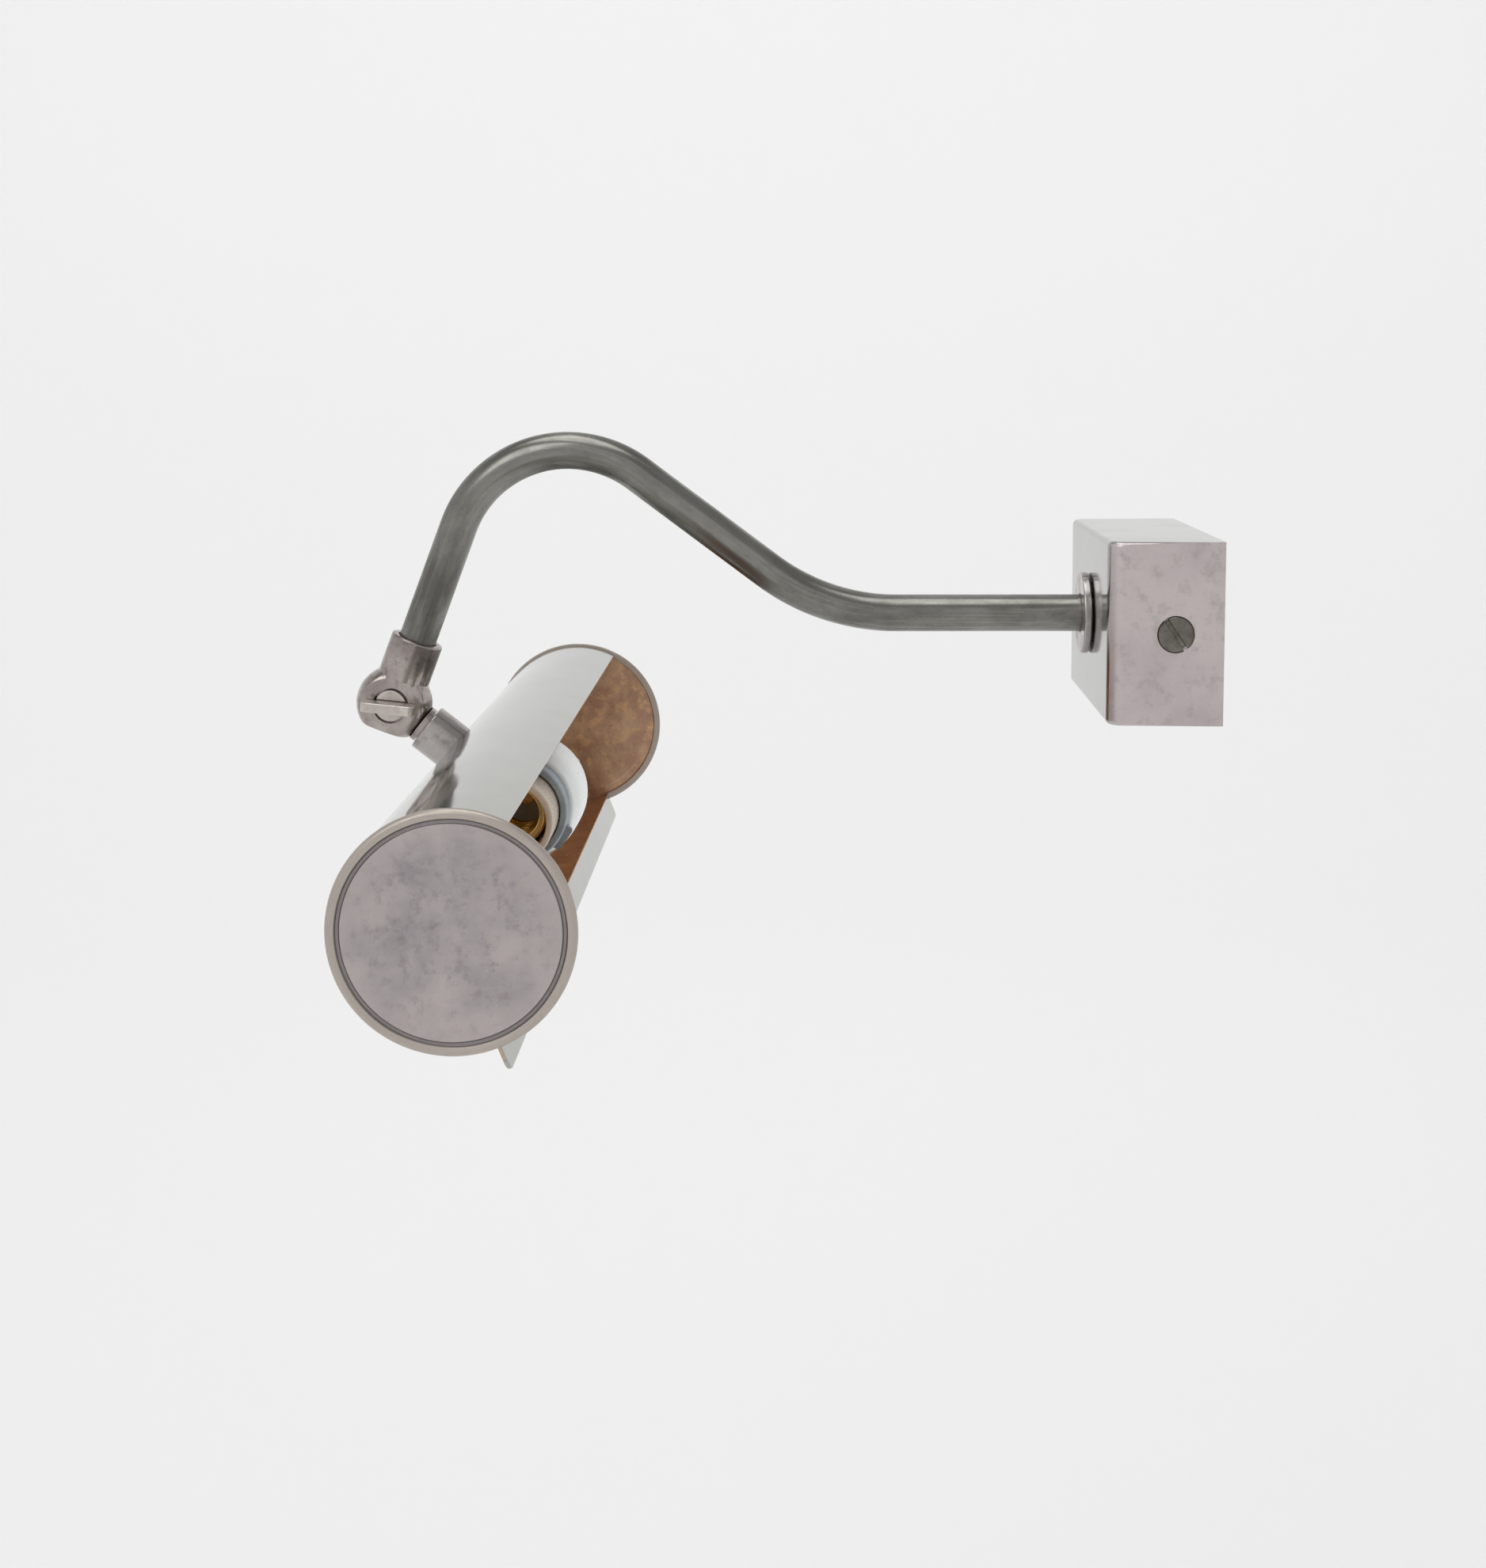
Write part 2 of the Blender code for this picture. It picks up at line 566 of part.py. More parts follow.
def build_earth_point():
    washer_rear = PLATE_THICKNESS + GAP
    head_rear = washer_rear + EARTH_WASHER_THICKNESS + GAP
    shank = EARTH_SCREW_SHANK / 2
    piece("earth_washer", ring(shank + GAP, EARTH_WASHER / 2, washer_rear,
                               washer_rear + EARTH_WASHER_THICKNESS, SMALL_STEPS),
          BRASS, None, (EARTH_X, 0, EARTH_Z), OUT_OF_WALL)
    profile = [(0, GAP), (shank, GAP), (shank, head_rear), (EARTH_SCREW_HEAD / 2, head_rear),
               (EARTH_SCREW_HEAD / 2, head_rear + EARTH_SCREW_HEAD_HEIGHT),
               (0, head_rear + EARTH_SCREW_HEAD_HEIGHT)]
    screw = piece("earth_screw", turned(profile, SMALL_STEPS), BRASS, None,
                  (EARTH_X, 0, EARTH_Z), OUT_OF_WALL)
    cut(screw, slot_cutter(EARTH_SCREW_HEAD + OVERRUN, EARTH_SCREW_HEAD / 6,
                           head_rear + EARTH_SCREW_HEAD_HEIGHT / 2,
                           head_rear + EARTH_SCREW_HEAD_HEIGHT + OVERRUN),
        None, (EARTH_X, 0, EARTH_Z), OUT_OF_WALL)


# ---------------------------------------------------------------- arm

def build_arm():
    line, direction = arm_line(ARM_START)
    line[-1] = line[-1] + direction * ARM_SEAT
    tube = place("arm_tube", curve_data("arm_tube", line, ARM_DIAMETER, ARM_FACETS // 2 - 2,
                                        capped=False), None, (0, 0, 0), (0, 0, 0))
    tube.data.materials.append(make_material("arm_tube", DARK_NICKEL))
    wall = tube.modifiers.new("wall", "SOLIDIFY")
    wall.thickness = ARM_WALL
    wall.offset = -1
    edge = ARM_COLLAR_EDGE
    outer = ARM_COLLAR_DIAMETER / 2
    low, high = BOX_DEPTH + GAP, BOX_DEPTH + GAP + ARM_COLLAR_THICKNESS
    profile = [(BORE_CLEAR, low), (outer - edge, low), (outer, low + edge), (outer, high - edge),
               (outer - edge, high), (BORE_CLEAR, high)]
    on_axis = (0, 0, ARM_HEIGHT)
    piece("arm_collar", turned(profile), DARK_NICKEL, None, on_axis, OUT_OF_WALL)
    piece("arm_washer", ring(BORE_CLEAR, ARM_WASHER_DIAMETER / 2,
                             -WASHER_FRONT - ARM_WASHER_THICKNESS, -WASHER_FRONT),
          ZINC, None, on_axis, OUT_OF_WALL)
    nut = piece("arm_nut", hexagon(ARM_DIAMETER + 2 * ARM_NUT_LAND,
                                   -NUT_FRONT - ARM_NUT_THICKNESS, -NUT_FRONT),
                BRASS, None, on_axis, OUT_OF_WALL)
    cut(nut, cylinder(BORE_CLEAR, -NUT_FRONT - ARM_NUT_THICKNESS - OVERRUN,
                      -NUT_FRONT + OVERRUN), None, on_axis, OUT_OF_WALL)
    shoulder = -ARM_START - GAP
    inside = ARM_DIAMETER / 2 - ARM_WALL - GAP
    flange = ARM_DIAMETER / 2 + BUSH_FLANGE_LIP
    bore = CABLE_DIAMETER / 2 + GAP
    bush = [(bore, shoulder - BUSH_FLANGE_THICKNESS), (flange, shoulder - BUSH_FLANGE_THICKNESS),
            (flange, shoulder), (inside, shoulder), (inside, shoulder + BUSH_LENGTH),
            (bore, shoulder + BUSH_LENGTH)]
    piece("arm_bush", turned(bush, SMALL_STEPS), BLACK_PLASTIC, None, on_axis, OUT_OF_WALL)


# ---------------------------------------------------------------- knuckle

def ball_half(radius, low, recess=0.0, recess_floor=BALL_FACE):
    """Ball on local Z from low to its flat face, with a screw hole and perhaps a recess."""
    rim = arc((0, 0), radius, math.asin(low / radius), math.asin(BALL_FACE / radius),
              math.radians(12))
    face = [(THUMB_BORE, BALL_FACE)]
    if recess:
        face = [(recess, BALL_FACE), (recess, recess_floor), (THUMB_BORE, recess_floor)]
    return turned([(THUMB_BORE, low), *rim, *face])


def half_ball_space(reach):
    """Room for the other half's ball: everything within reach on one side of the parting."""
    rim = arc((0, 0), reach, math.asin(-GAP / 2 / reach), math.pi / 2, math.radians(11))
    return turned([(0, -GAP / 2), *rim[:-1], (0, reach)])


def cut_half(half, side, other_ball, parent):
    """Parting plane and wire ring of one knuckle half; side is where it lies."""
    other = ALONG_MINUS_X if side > 0 else ALONG_X
    own = ALONG_X if side > 0 else ALONG_MINUS_X
    cut(half, half_ball_space(other_ball + GAP), parent, (0, 0, 0), other)
    cut(half, ring(WIRE_RING_INNER, WIRE_RING_OUTER, -GAP, GAP / 2 + WIRE_RING_DEPTH), parent,
        (0, 0, 0), own)


def build_knuckle_upper(arm_end):
    upper = piece("knuckle_upper", cylinder(BORE_CLEAR + SLEEVE_WALL, BALL_RADIUS / 2,
                                            SLEEVE_TOP), AGED_NICKEL, arm_end)
    reach = BALL_RADIUS + OVERRUN
    # the sleeve is wider than the flat side face, so its foot is trimmed back behind the face
    cut(upper, block((BALL_FACE - GAP, -reach, 0), (reach, reach, SLEEVE_CREASE)), arm_end)
    recess = THUMB_HEAD / 2 + THUMB_RECESS_GAP
    join(upper, ball_half(BALL_RADIUS, GAP / 2, recess, BALL_FACE - THUMB_RECESS_DEPTH),
         arm_end, (0, 0, 0), ALONG_X)
    cut(upper, block((-reach, -reach, -reach), (reach, reach, -BALL_FLAT)), arm_end)
    cut_half(upper, 1, LOWER_BALL_RADIUS, arm_end)
    cut(upper, cylinder(BORE_CLEAR, SLEEVE_TOP - ARM_SEAT - GAP, SLEEVE_TOP + OVERRUN), arm_end)
    cut(upper, cylinder(SPIGOT_BORE, WIRE_RING_MIDDLE, SLEEVE_TOP - ARM_SEAT, SMALL_STEPS),
        arm_end)
    use_manifold_solver(upper)


def build_knuckle_lower(head):
    lower = piece("knuckle_lower", ball_half(LOWER_BALL_RADIUS, -GAP), AGED_NICKEL,
                  head, (0, 0, 0), ALONG_MINUS_X)
    join(lower, cylinder(SPIGOT_DIAMETER / 2 + NECK_SHOULDER, -BALL_CLEARANCE,
                         -LOWER_BALL_RADIUS / 2), head)
    join(lower, cylinder(SPIGOT_DIAMETER / 2, SPIGOT_END - PIVOT_TO_SHADE, -SLEEVE_CREASE,
                         SMALL_STEPS), head)
    cut_half(lower, -1, BALL_RADIUS, head)
    cut(lower, cylinder(SPIGOT_BORE, SPIGOT_END - PIVOT_TO_SHADE - OVERRUN,
                        -WIRE_RING_MIDDLE, SMALL_STEPS), head)
    cut(lower, cylinder(FRICTION_WASHER_RADIUS + GAP, -GAP,
                        GAP / 2 + FRICTION_WASHER_THICKNESS + GAP, SMALL_STEPS),
        head, (0, 0, 0), ALONG_MINUS_X)


def build_thumb_screw(screw_axis):
    head = THUMB_HEAD / 2
    shank = THUMB_SHANK / 2
    seat = BALL_FACE - THUMB_RECESS_DEPTH + GAP
    top = seat + THUMB_HEAD_HEIGHT
    edge = THUMB_EDGE
    profile = [(0, -THUMB_END), (shank - edge, -THUMB_END), (shank, -THUMB_END + edge),
               (shank, seat), (head, seat), (head, top - edge), (head - edge, top), (0, top)]
    screw = piece("thumb_screw", turned(profile), AGED_NICKEL, screw_axis, (0, 0, 0), ALONG_X)
    slot = PADDLE_THICKNESS + 2 * GAP
    tongue_floor = top - PADDLE_TONGUE_DEPTH
    cut(screw, block((tongue_floor - GAP, -THUMB_HEAD, -slot / 2),
                     (top + OVERRUN, THUMB_HEAD, slot / 2)), screw_axis)
    shoulder = max(top, BALL_FACE) + GAP
    outer = BALL_FACE + PADDLE_REACH
    half = PADDLE_LENGTH / 2
    bar = block((shoulder, -half, -PADDLE_THICKNESS / 2), (outer, half, PADDLE_THICKNESS / 2))
    bevel_edges(bar, lambda edge: abs(edge.verts[0].co.z - edge.verts[1].co.z) > 1e-6
                and edge.verts[0].co.x > shoulder + 1e-6, PADDLE_CORNER, 3)
    paddle = piece("thumb_paddle", bar, AGED_NICKEL, screw_axis)
    tongue = head - PADDLE_TONGUE_INSET
    join(paddle, block((tongue_floor, -tongue, -PADDLE_THICKNESS / 2),
                       (shoulder + GAP, tongue, PADDLE_THICKNESS / 2)), screw_axis)


def build_friction_washer(head):
    """Washer between the two halves, in the lower half's recess."""
    start = GAP / 2
    piece("friction_washer", ring(THUMB_BORE, FRICTION_WASHER_RADIUS, start,
                                  start + FRICTION_WASHER_THICKNESS, SMALL_STEPS),
          BRASS, head, (0, 0, 0), ALONG_MINUS_X)


# ---------------------------------------------------------------- shade

def shade_outline():
    """Section of the shade: an open round wall whose lower edge turns outward as a lip."""
    top = OPENING_TOP
    bottom = OPENING_BOTTOM + math.tau
    outer_end = bottom - SHADE_WALL / SHADE_RADIUS
    inner = arc((0, 0), SHADE_INNER, bottom, top, SHADE_FACET)
    outer = arc((0, 0), SHADE_RADIUS, top, outer_end, SHADE_FACET)
    along = Vector((math.cos(bottom), math.sin(bottom)))
    across = Vector((-along.y, along.x)) * -SHADE_WALL
    tip = along * LIP_RADIUS
    return [tuple(tip + across), tuple(tip)] + inner + outer


def build_shade(head):
    half = SHADE_LENGTH / 2 - CAP_RIM_DEPTH - GAP
    wall = extruded([(-half, y, z) for y, z in shade_outline()], (2 * half, 0, 0))
    bevel_edges(wall, lambda edge: abs(edge.verts[0].co.x - edge.verts[1].co.x) < 1e-6
                and all(v.co.yz.length > LIP_RADIUS - 1e-5 for v in edge.verts), LIP_CORNER, 4)
    shade = piece("shade_tube", wall, POLISHED_NICKEL, head, (0, 0, -PIVOT_TO_SHADE))
    cut(shade, cylinder(SPIGOT_CLEAR, SHADE_INNER - OVERRUN,
                        SHADE_RADIUS + OVERRUN, SMALL_STEPS), head, (0, 0, -PIVOT_TO_SHADE))


def cap_profile():
    """Half section of an end cap: (radius, depth inward from the bead's crest)."""
    bead_inner = CAP_RADIUS - CAP_BEAD_WIDTH
    face = CAP_BEAD_RISE
    bead_half = CAP_BEAD_WIDTH / 2
    bead = [(CAP_RADIUS - bead_half + bead_half * math.cos(angle),
             face * (1 - math.sin(angle))) for angle in
            (math.radians(degrees) for degrees in (0, 30, 60, 90, 120, 150, 180))]
    channel_outer = SHADE_INNER - GAP
    channel_inner = channel_outer - CAP_CHANNEL_WIDTH
    channel_floor = CAP_RIM_DEPTH - CAP_CHANNEL_DEPTH
    groove_floor = face + CAP_GROOVE_DEPTH
    return [(0, CAP_RIM_DEPTH), (channel_inner, CAP_RIM_DEPTH), (channel_inner, channel_floor),
            (channel_outer, channel_floor), (channel_outer, CAP_RIM_DEPTH),
            (CAP_RADIUS, CAP_RIM_DEPTH), *bead, (bead_inner, groove_floor),
            (bead_inner - CAP_GROOVE_WIDTH, groove_floor), (bead_inner - CAP_GROOVE_WIDTH, face),
            (0, face)]


def build_caps(head):
    for name, side in (("end_cap_right", 1), ("end_cap_left", -1)):
        # heights run inward from the crest, so the piece points back towards the middle
        rotation = ALONG_MINUS_X if side > 0 else ALONG_X
        piece(name, turned(cap_profile(), FINE_STEPS), AGED_NICKEL, head,
              (side * SHADE_LENGTH / 2, 0, -PIVOT_TO_SHADE), rotation)


def build_shade_fixing(head):
    start = -BALL_CLEARANCE - GAP
    end = SHADE_RADIUS - PIVOT_TO_SHADE - 2 * OVERRUN
    outer = SPIGOT_CLEAR + COLLAR_WALL
    collar = piece("shade_collar", ring(SPIGOT_CLEAR, outer, end, start), DARK_NICKEL, head)
    cut(collar, cylinder(SHADE_RADIUS + GAP, -2 * outer, 2 * outer, FINE_STEPS * 2), head,
        (0, 0, -PIVOT_TO_SHADE), ALONG_X)
    centre = (0, 0, -PIVOT_TO_SHADE)
    nut_low = SHADE_NUT_TOP - SHADE_NUT_THICKNESS
    flats = SPIGOT_DIAMETER + 2 * SHADE_NUT_LAND
    nut = piece("shade_nut", hexagon(flats, nut_low, SHADE_NUT_TOP), BRASS, head, centre)
    cut(nut, cylinder(SPIGOT_CLEAR, nut_low - OVERRUN, SHADE_NUT_TOP + OVERRUN, SMALL_STEPS),
        head, centre)


# ---------------------------------------------------------------- lampholder

def build_bracket(head):
    """Bent strip: its foot is clamped under the shade and its plate carries the lampholder."""
    centre = (0, 0, -PIVOT_TO_SHADE)
    half = BRACKET_WIDTH / 2
    front = HOLDER_REAR - GAP
    rear = front - BRACKET_THICKNESS
    plate_top = HOLDER_OFFSET + WIRE_GROOVE_FLOOR - GAP
    plate_low = plate_top - BRACKET_PLATE_HEIGHT
    strip = piece("holder_bracket", block((rear, -half, FOOT_TOP - BRACKET_THICKNESS),
                                          (BRACKET_FRONT, half, FOOT_TOP)), ZINC, head, centre)
    join(strip, block((rear, -half, plate_low), (front, half, FOOT_TOP)), head, centre)
    join(strip, block((rear, -BRACKET_PLATE_WIDTH / 2, plate_low),
                      (front, BRACKET_PLATE_WIDTH / 2, plate_top)), head, centre)
    cut(strip, cylinder(SPIGOT_CLEAR, FOOT_TOP - BRACKET_THICKNESS - OVERRUN,
                        FOOT_TOP + OVERRUN, SMALL_STEPS), head, centre)
    for name, side in (("holder_screw_left", -1), ("holder_screw_right", 1)):
        at = (rear, side * HOLDER_SCREW_SPACING / 2, HOLDER_Z)
        cut(strip, cylinder(HOLDER_SCREW_SHANK / 2 + GAP, -OVERRUN, OVERRUN, SMALL_STEPS), head,
            at, ALONG_X)
        shank = HOLDER_SCREW_SHANK / 2
        cap = HOLDER_SCREW_HEAD / 2
        tip = BRACKET_THICKNESS + GAP + HOLDER_SCREW_GRIP
        profile = [(0, -GAP - HOLDER_SCREW_HEAD_HEIGHT), (cap, -GAP - HOLDER_SCREW_HEAD_HEIGHT),
                   (cap, -GAP), (shank, -GAP), (shank, tip), (0, tip)]
        screw = piece(name, turned(profile, SMALL_STEPS), ZINC, head, at, ALONG_X)
        cut(screw, slot_cutter(HOLDER_SCREW_HEAD + OVERRUN, HOLDER_SCREW_HEAD / 6,
                               -GAP - HOLDER_SCREW_HEAD_HEIGHT - OVERRUN,
                               -GAP - HOLDER_SCREW_HEAD_HEIGHT / 2), head, at, ALONG_X)


def build_holder_body(head):
    centre = (0, 0, HOLDER_Z)
    seat = SLEEVE_OUTER + GAP
    bore = SHELL_RADIUS + GAP
    profile = [(0, HOLDER_FLOOR_REAR), (HOLDER_REAR_CAVITY, HOLDER_FLOOR_REAR),
               (HOLDER_REAR_CAVITY, HOLDER_REAR),
               (HOLDER_RADIUS - HOLDER_REAR_CHAMFER, HOLDER_REAR),
               (HOLDER_RADIUS, HOLDER_REAR + HOLDER_REAR_CHAMFER),
               (HOLDER_RADIUS, HOLDER_REAR + HOLDER_STRAIGHT), (HOLDER_RADIUS - HOLDER_DRAFT, 0.0),
               (HOLDER_SHOULDER_RADIUS, HOLDER_FRONT - HOLDER_SHOULDER_HEIGHT),
               (HOLDER_FRONT_RADIUS, HOLDER_FRONT), (seat, HOLDER_FRONT),
               (seat, HOLDER_SLEEVE_SEAT), (bore, HOLDER_SLEEVE_SEAT),
               (bore, HOLDER_FLOOR_FRONT), (0, HOLDER_FLOOR_FRONT)]
    body = piece("holder_body", turned(profile, ROUND_STEPS), PORCELAIN, head, centre, ALONG_X)
    half = WIRE_GROOVE_WIDTH / 2
    beyond = HOLDER_RADIUS + OVERRUN
    cut(body, block((HOLDER_REAR - OVERRUN, -half, WIRE_GROOVE_FLOOR),
                    (HOLDER_FRONT + OVERRUN, half, beyond)), head, centre)
    cut(body, block((HOLDER_REAR - OVERRUN, -half, HOLDER_REAR_CAVITY / 2),
                    (HOLDER_FLOOR_REAR, half, beyond)), head, centre)
    hole = CONTACT_SHANK / 2 + GAP
    for y in (0, NEUTRAL_OFFSET):
        cut(body, cylinder(hole, HOLDER_FLOOR_REAR - OVERRUN, HOLDER_FLOOR_FRONT + OVERRUN,
                           SMALL_STEPS), head, (0, y, HOLDER_Z), ALONG_X)
    for side in (-1, 1):
        cut(body, cylinder(HOLDER_SCREW_SHANK / 2 + GAP, HOLDER_REAR - OVERRUN,
                           HOLDER_REAR + HOLDER_SCREW_GRIP + GAP, SMALL_STEPS), head,
            (0, side * HOLDER_SCREW_SPACING / 2, HOLDER_Z), ALONG_X)


def build_contacts(head):
    """Rivets through the lampholder's floor: the centre contact and the shell's own."""
    for name, y, diameter in (("centre_contact", 0, CONTACT_HEAD),
                              ("shell_contact", NEUTRAL_OFFSET, NEUTRAL_HEAD)):
        low = HOLDER_FLOOR_FRONT + GAP
        tail = HOLDER_FLOOR_REAR - CONTACT_TAIL
        profile = [(0, tail), (CONTACT_SHANK / 2, tail), (CONTACT_SHANK / 2, low),
                   (diameter / 2, low), (diameter / 2, low + CONTACT_THICKNESS),
                   (0, low + CONTACT_THICKNESS)]
        piece(name, turned(profile, SMALL_STEPS), BRASS, head, (0, y, HOLDER_Z), ALONG_X)


def build_holder_front(head):
    centre = (0, 0, HOLDER_Z)
    edge = HOLDER_EDGE
    sleeve_rear = HOLDER_SLEEVE_SEAT + GAP
    sleeve = [(SLEEVE_INNER, sleeve_rear), (SLEEVE_OUTER, sleeve_rear),
              (SLEEVE_OUTER, SLEEVE_MOUTH - edge), (SLEEVE_OUTER - edge, SLEEVE_MOUTH),
              (SLEEVE_INNER + edge, SLEEVE_MOUTH), (SLEEVE_INNER, SLEEVE_MOUTH - edge)]
    piece("holder_sleeve", turned(sleeve, ROUND_STEPS), CREAM, head, centre, ALONG_X)
    inner = SLEEVE_OUTER + GAP
    outer = inner + RING_WIDTH
    rear = HOLDER_FRONT + GAP
    front = rear + RING_LENGTH
    collar = [(inner, rear), (outer, rear), (outer, front - edge), (outer - edge, front),
              (inner, front)]
    clamp = piece("holder_ring", turned(collar, ROUND_STEPS), GREY_METAL, head, centre, ALONG_X)
    for turn in (0, math.pi):
        angle = RING_LUG_ANGLE + turn
        lug = block((rear, inner + RING_WIDTH / 2, -RING_LUG_WIDTH / 2),
                    (rear + RING_LUG_THICKNESS, outer + RING_LUG_REACH, RING_LUG_WIDTH / 2))
        join(clamp, lug, head, centre, (angle, 0, 0))
    shell_rear = HOLDER_FLOOR_FRONT + 2 * GAP + CONTACT_THICKNESS
    inside = SHELL_RADIUS - SHELL_WALL
    flare_start = SHELL_FRONT - SHELL_FLARE_LENGTH
    shell = [(inside, shell_rear), (SHELL_RADIUS, shell_rear), (SHELL_RADIUS, flare_start),
             (SHELL_RADIUS + SHELL_FLARE, SHELL_FRONT), (inside + SHELL_FLARE, SHELL_FRONT),
             (inside, flare_start)]
    piece("thread_shell", turned(shell), BRASS, head, centre, ALONG_X)


# ---------------------------------------------------------------- wiring

def build_arm_cable():
    """The cable that the arm holds, from the wall box to the end of the tube."""
    line, direction = arm_line(ARM_START + GAP)
    line[0] = Vector((0, ARM_START + BUSH_FLANGE_THICKNESS + 3 * GAP, ARM_HEIGHT))
    line[-1] = line[-1] + direction * (ARM_SEAT - GAP)
    wire("arm_cable", line, CABLE_DIAMETER, BLACK_PLASTIC)
    return line[0]


def build_box_cores(cable_end):
    """Cores from the cable's end to the terminal block, and from the block to earth."""
    pole_y = -PLATE_THICKNESS - GAP - BLOCK_DEPTH / 2
    above = BLOCK_Z + BLOCK_HEIGHT / 2
    start = cable_end + Vector((0, GAP, 0))
    for name, side, finish in (("core_live", -1, BROWN_CORE), ("core_neutral", 1, BLUE_CORE)):
        x = side * CORE_SPREAD
        pole = 0 if side > 0 else -POLE_SPACING
        route = [start + Vector((x, 0, 0)), start + Vector((x * 1.1, 0.003, 0)),
                 Vector((x + pole * 0.4, pole_y - 0.003, start.z - 0.002)),
                 Vector((pole, pole_y, above + 0.003)), Vector((pole, pole_y, above - 0.003))]
        wire(name, smooth_route(route, 0.0015), CORE_DIAMETER, finish)
    washer_front = -PLATE_THICKNESS - 2 * GAP - EARTH_WASHER_THICKNESS
    route = [Vector((POLE_SPACING, pole_y, above - 0.003)),
             Vector((POLE_SPACING, pole_y, above + 0.002)),
             Vector((POLE_SPACING + 0.006, pole_y, above + 0.0045)),
             Vector((EARTH_X - 0.006, pole_y + 0.001, EARTH_Z + 0.004)),
             Vector((EARTH_X - 0.0052, washer_front - CORE_DIAMETER, EARTH_Z))]
    wire("core_earth", smooth_route(route, 0.0018), CORE_DIAMETER, GREEN_CORE)


def build_head_cores(head):
    """Cores from the knuckle, down the spigot and along the porcelain to its contacts."""
    behind = (HOLDER_REAR + HOLDER_FLOOR_REAR) / 2 - CORE_DIAMETER / 4
    groove = HOLDER_Z + WIRE_GROOVE_FLOOR + CORE_DIAMETER
    end_z = HOLDER_Z + CORE_DIAMETER / 2 + CONTACT_SHANK / 2 + GAP
    spigot_end = SPIGOT_END - PIVOT_TO_SHADE
    for name, side, target in (("head_core_live", -1, 0.0),
                               ("head_core_neutral", 1, NEUTRAL_OFFSET)):
        y = side * CORE_SPREAD
        finish = BROWN_CORE if side < 0 else BLUE_CORE
        route = [Vector((0, y, -BALL_CLEARANCE)), Vector((0, y, spigot_end + 0.004)),
                 Vector((-0.0006, y, spigot_end + 0.0005)),
                 Vector((-0.005, y * 1.3, groove + CORE_DIAMETER / 3)),
                 Vector((behind + 0.003, y * 1.6, groove)),
                 Vector((behind, y * 1.6, groove - 0.003)),
                 Vector((behind, target * 0.6, end_z + 0.003)),
                 Vector((behind, target, end_z))]
        wire(name, smooth_route(route, 0.0018), CORE_DIAMETER, finish, head)


def build():
    for item in list(bpy.data.objects):
        bpy.data.objects.remove(item, do_unlink=True)
    arm_end = empty("arm_end", PIVOT, (ARM_END_TILT, 0, 0))
    screw_axis = empty("screw_axis", PIVOT, (PADDLE_ANGLE, 0, 0))
    head = empty("head", PIVOT, (HEAD_TILT, 0, 0))
    build_cover()
    build_cover_screw("cover_screw_right", 1)
    build_cover_screw("cover_screw_left", -1)
    build_wall_plate()
    build_terminal_block()
    build_earth_point()
    build_arm()
    build_knuckle_upper(arm_end)
    build_knuckle_lower(head)
    build_friction_washer(head)
    build_thumb_screw(screw_axis)
    build_shade(head)
    build_caps(head)
    build_shade_fixing(head)
    build_bracket(head)
    build_holder_body(head)
    build_contacts(head)
    build_holder_front(head)
    build_box_cores(build_arm_cable())
    build_head_cores(head)


build()
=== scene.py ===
"""Looks of the picture light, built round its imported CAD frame.

Metres, in the frame's own axes: the wall is the plane Y = 0, the light stands out towards
-Y, +Z is up and +X runs along the shade. Turned pieces are lathed again with fine steps and
rounded edges, flat ones are bevelled, and every surface gets an aged-metal, porcelain or
plastic material made of procedural nodes.
"""
import json
import math

import bmesh
import bpy
from mathutils import Matrix, Vector

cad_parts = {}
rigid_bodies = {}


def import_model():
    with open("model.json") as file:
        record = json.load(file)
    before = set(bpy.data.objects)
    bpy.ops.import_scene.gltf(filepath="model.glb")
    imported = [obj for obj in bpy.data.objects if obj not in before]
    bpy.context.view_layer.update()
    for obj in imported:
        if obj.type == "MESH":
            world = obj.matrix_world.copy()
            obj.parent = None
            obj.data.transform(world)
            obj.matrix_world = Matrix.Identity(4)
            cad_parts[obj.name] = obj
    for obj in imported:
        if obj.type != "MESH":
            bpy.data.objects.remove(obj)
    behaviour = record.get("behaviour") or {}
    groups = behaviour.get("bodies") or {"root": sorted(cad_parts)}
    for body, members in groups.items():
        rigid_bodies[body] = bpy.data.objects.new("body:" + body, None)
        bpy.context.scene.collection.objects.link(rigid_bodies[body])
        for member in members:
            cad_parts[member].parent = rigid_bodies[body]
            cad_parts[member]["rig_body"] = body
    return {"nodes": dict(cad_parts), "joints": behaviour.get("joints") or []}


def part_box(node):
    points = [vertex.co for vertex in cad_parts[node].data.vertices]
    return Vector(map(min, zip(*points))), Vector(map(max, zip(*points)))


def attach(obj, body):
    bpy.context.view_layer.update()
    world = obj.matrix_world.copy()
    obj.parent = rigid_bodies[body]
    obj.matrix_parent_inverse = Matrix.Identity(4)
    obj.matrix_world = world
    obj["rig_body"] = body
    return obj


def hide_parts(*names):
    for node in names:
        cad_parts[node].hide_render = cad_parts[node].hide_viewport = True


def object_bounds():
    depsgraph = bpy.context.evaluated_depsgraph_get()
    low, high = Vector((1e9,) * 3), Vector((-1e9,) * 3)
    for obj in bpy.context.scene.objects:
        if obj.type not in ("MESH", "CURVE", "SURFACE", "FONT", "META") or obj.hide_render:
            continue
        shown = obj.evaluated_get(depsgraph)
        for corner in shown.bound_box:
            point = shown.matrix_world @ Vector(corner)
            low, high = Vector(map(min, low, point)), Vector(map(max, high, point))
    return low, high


# Facets and edges
FINE = 144                      # steps of large turned pieces
MEDIUM = 72                     # steps of small turned pieces
EDGE = 0.0003                   # usual rounding of a machined edge
SOFT_EDGE = 0.0005              # rounding of a worn edge
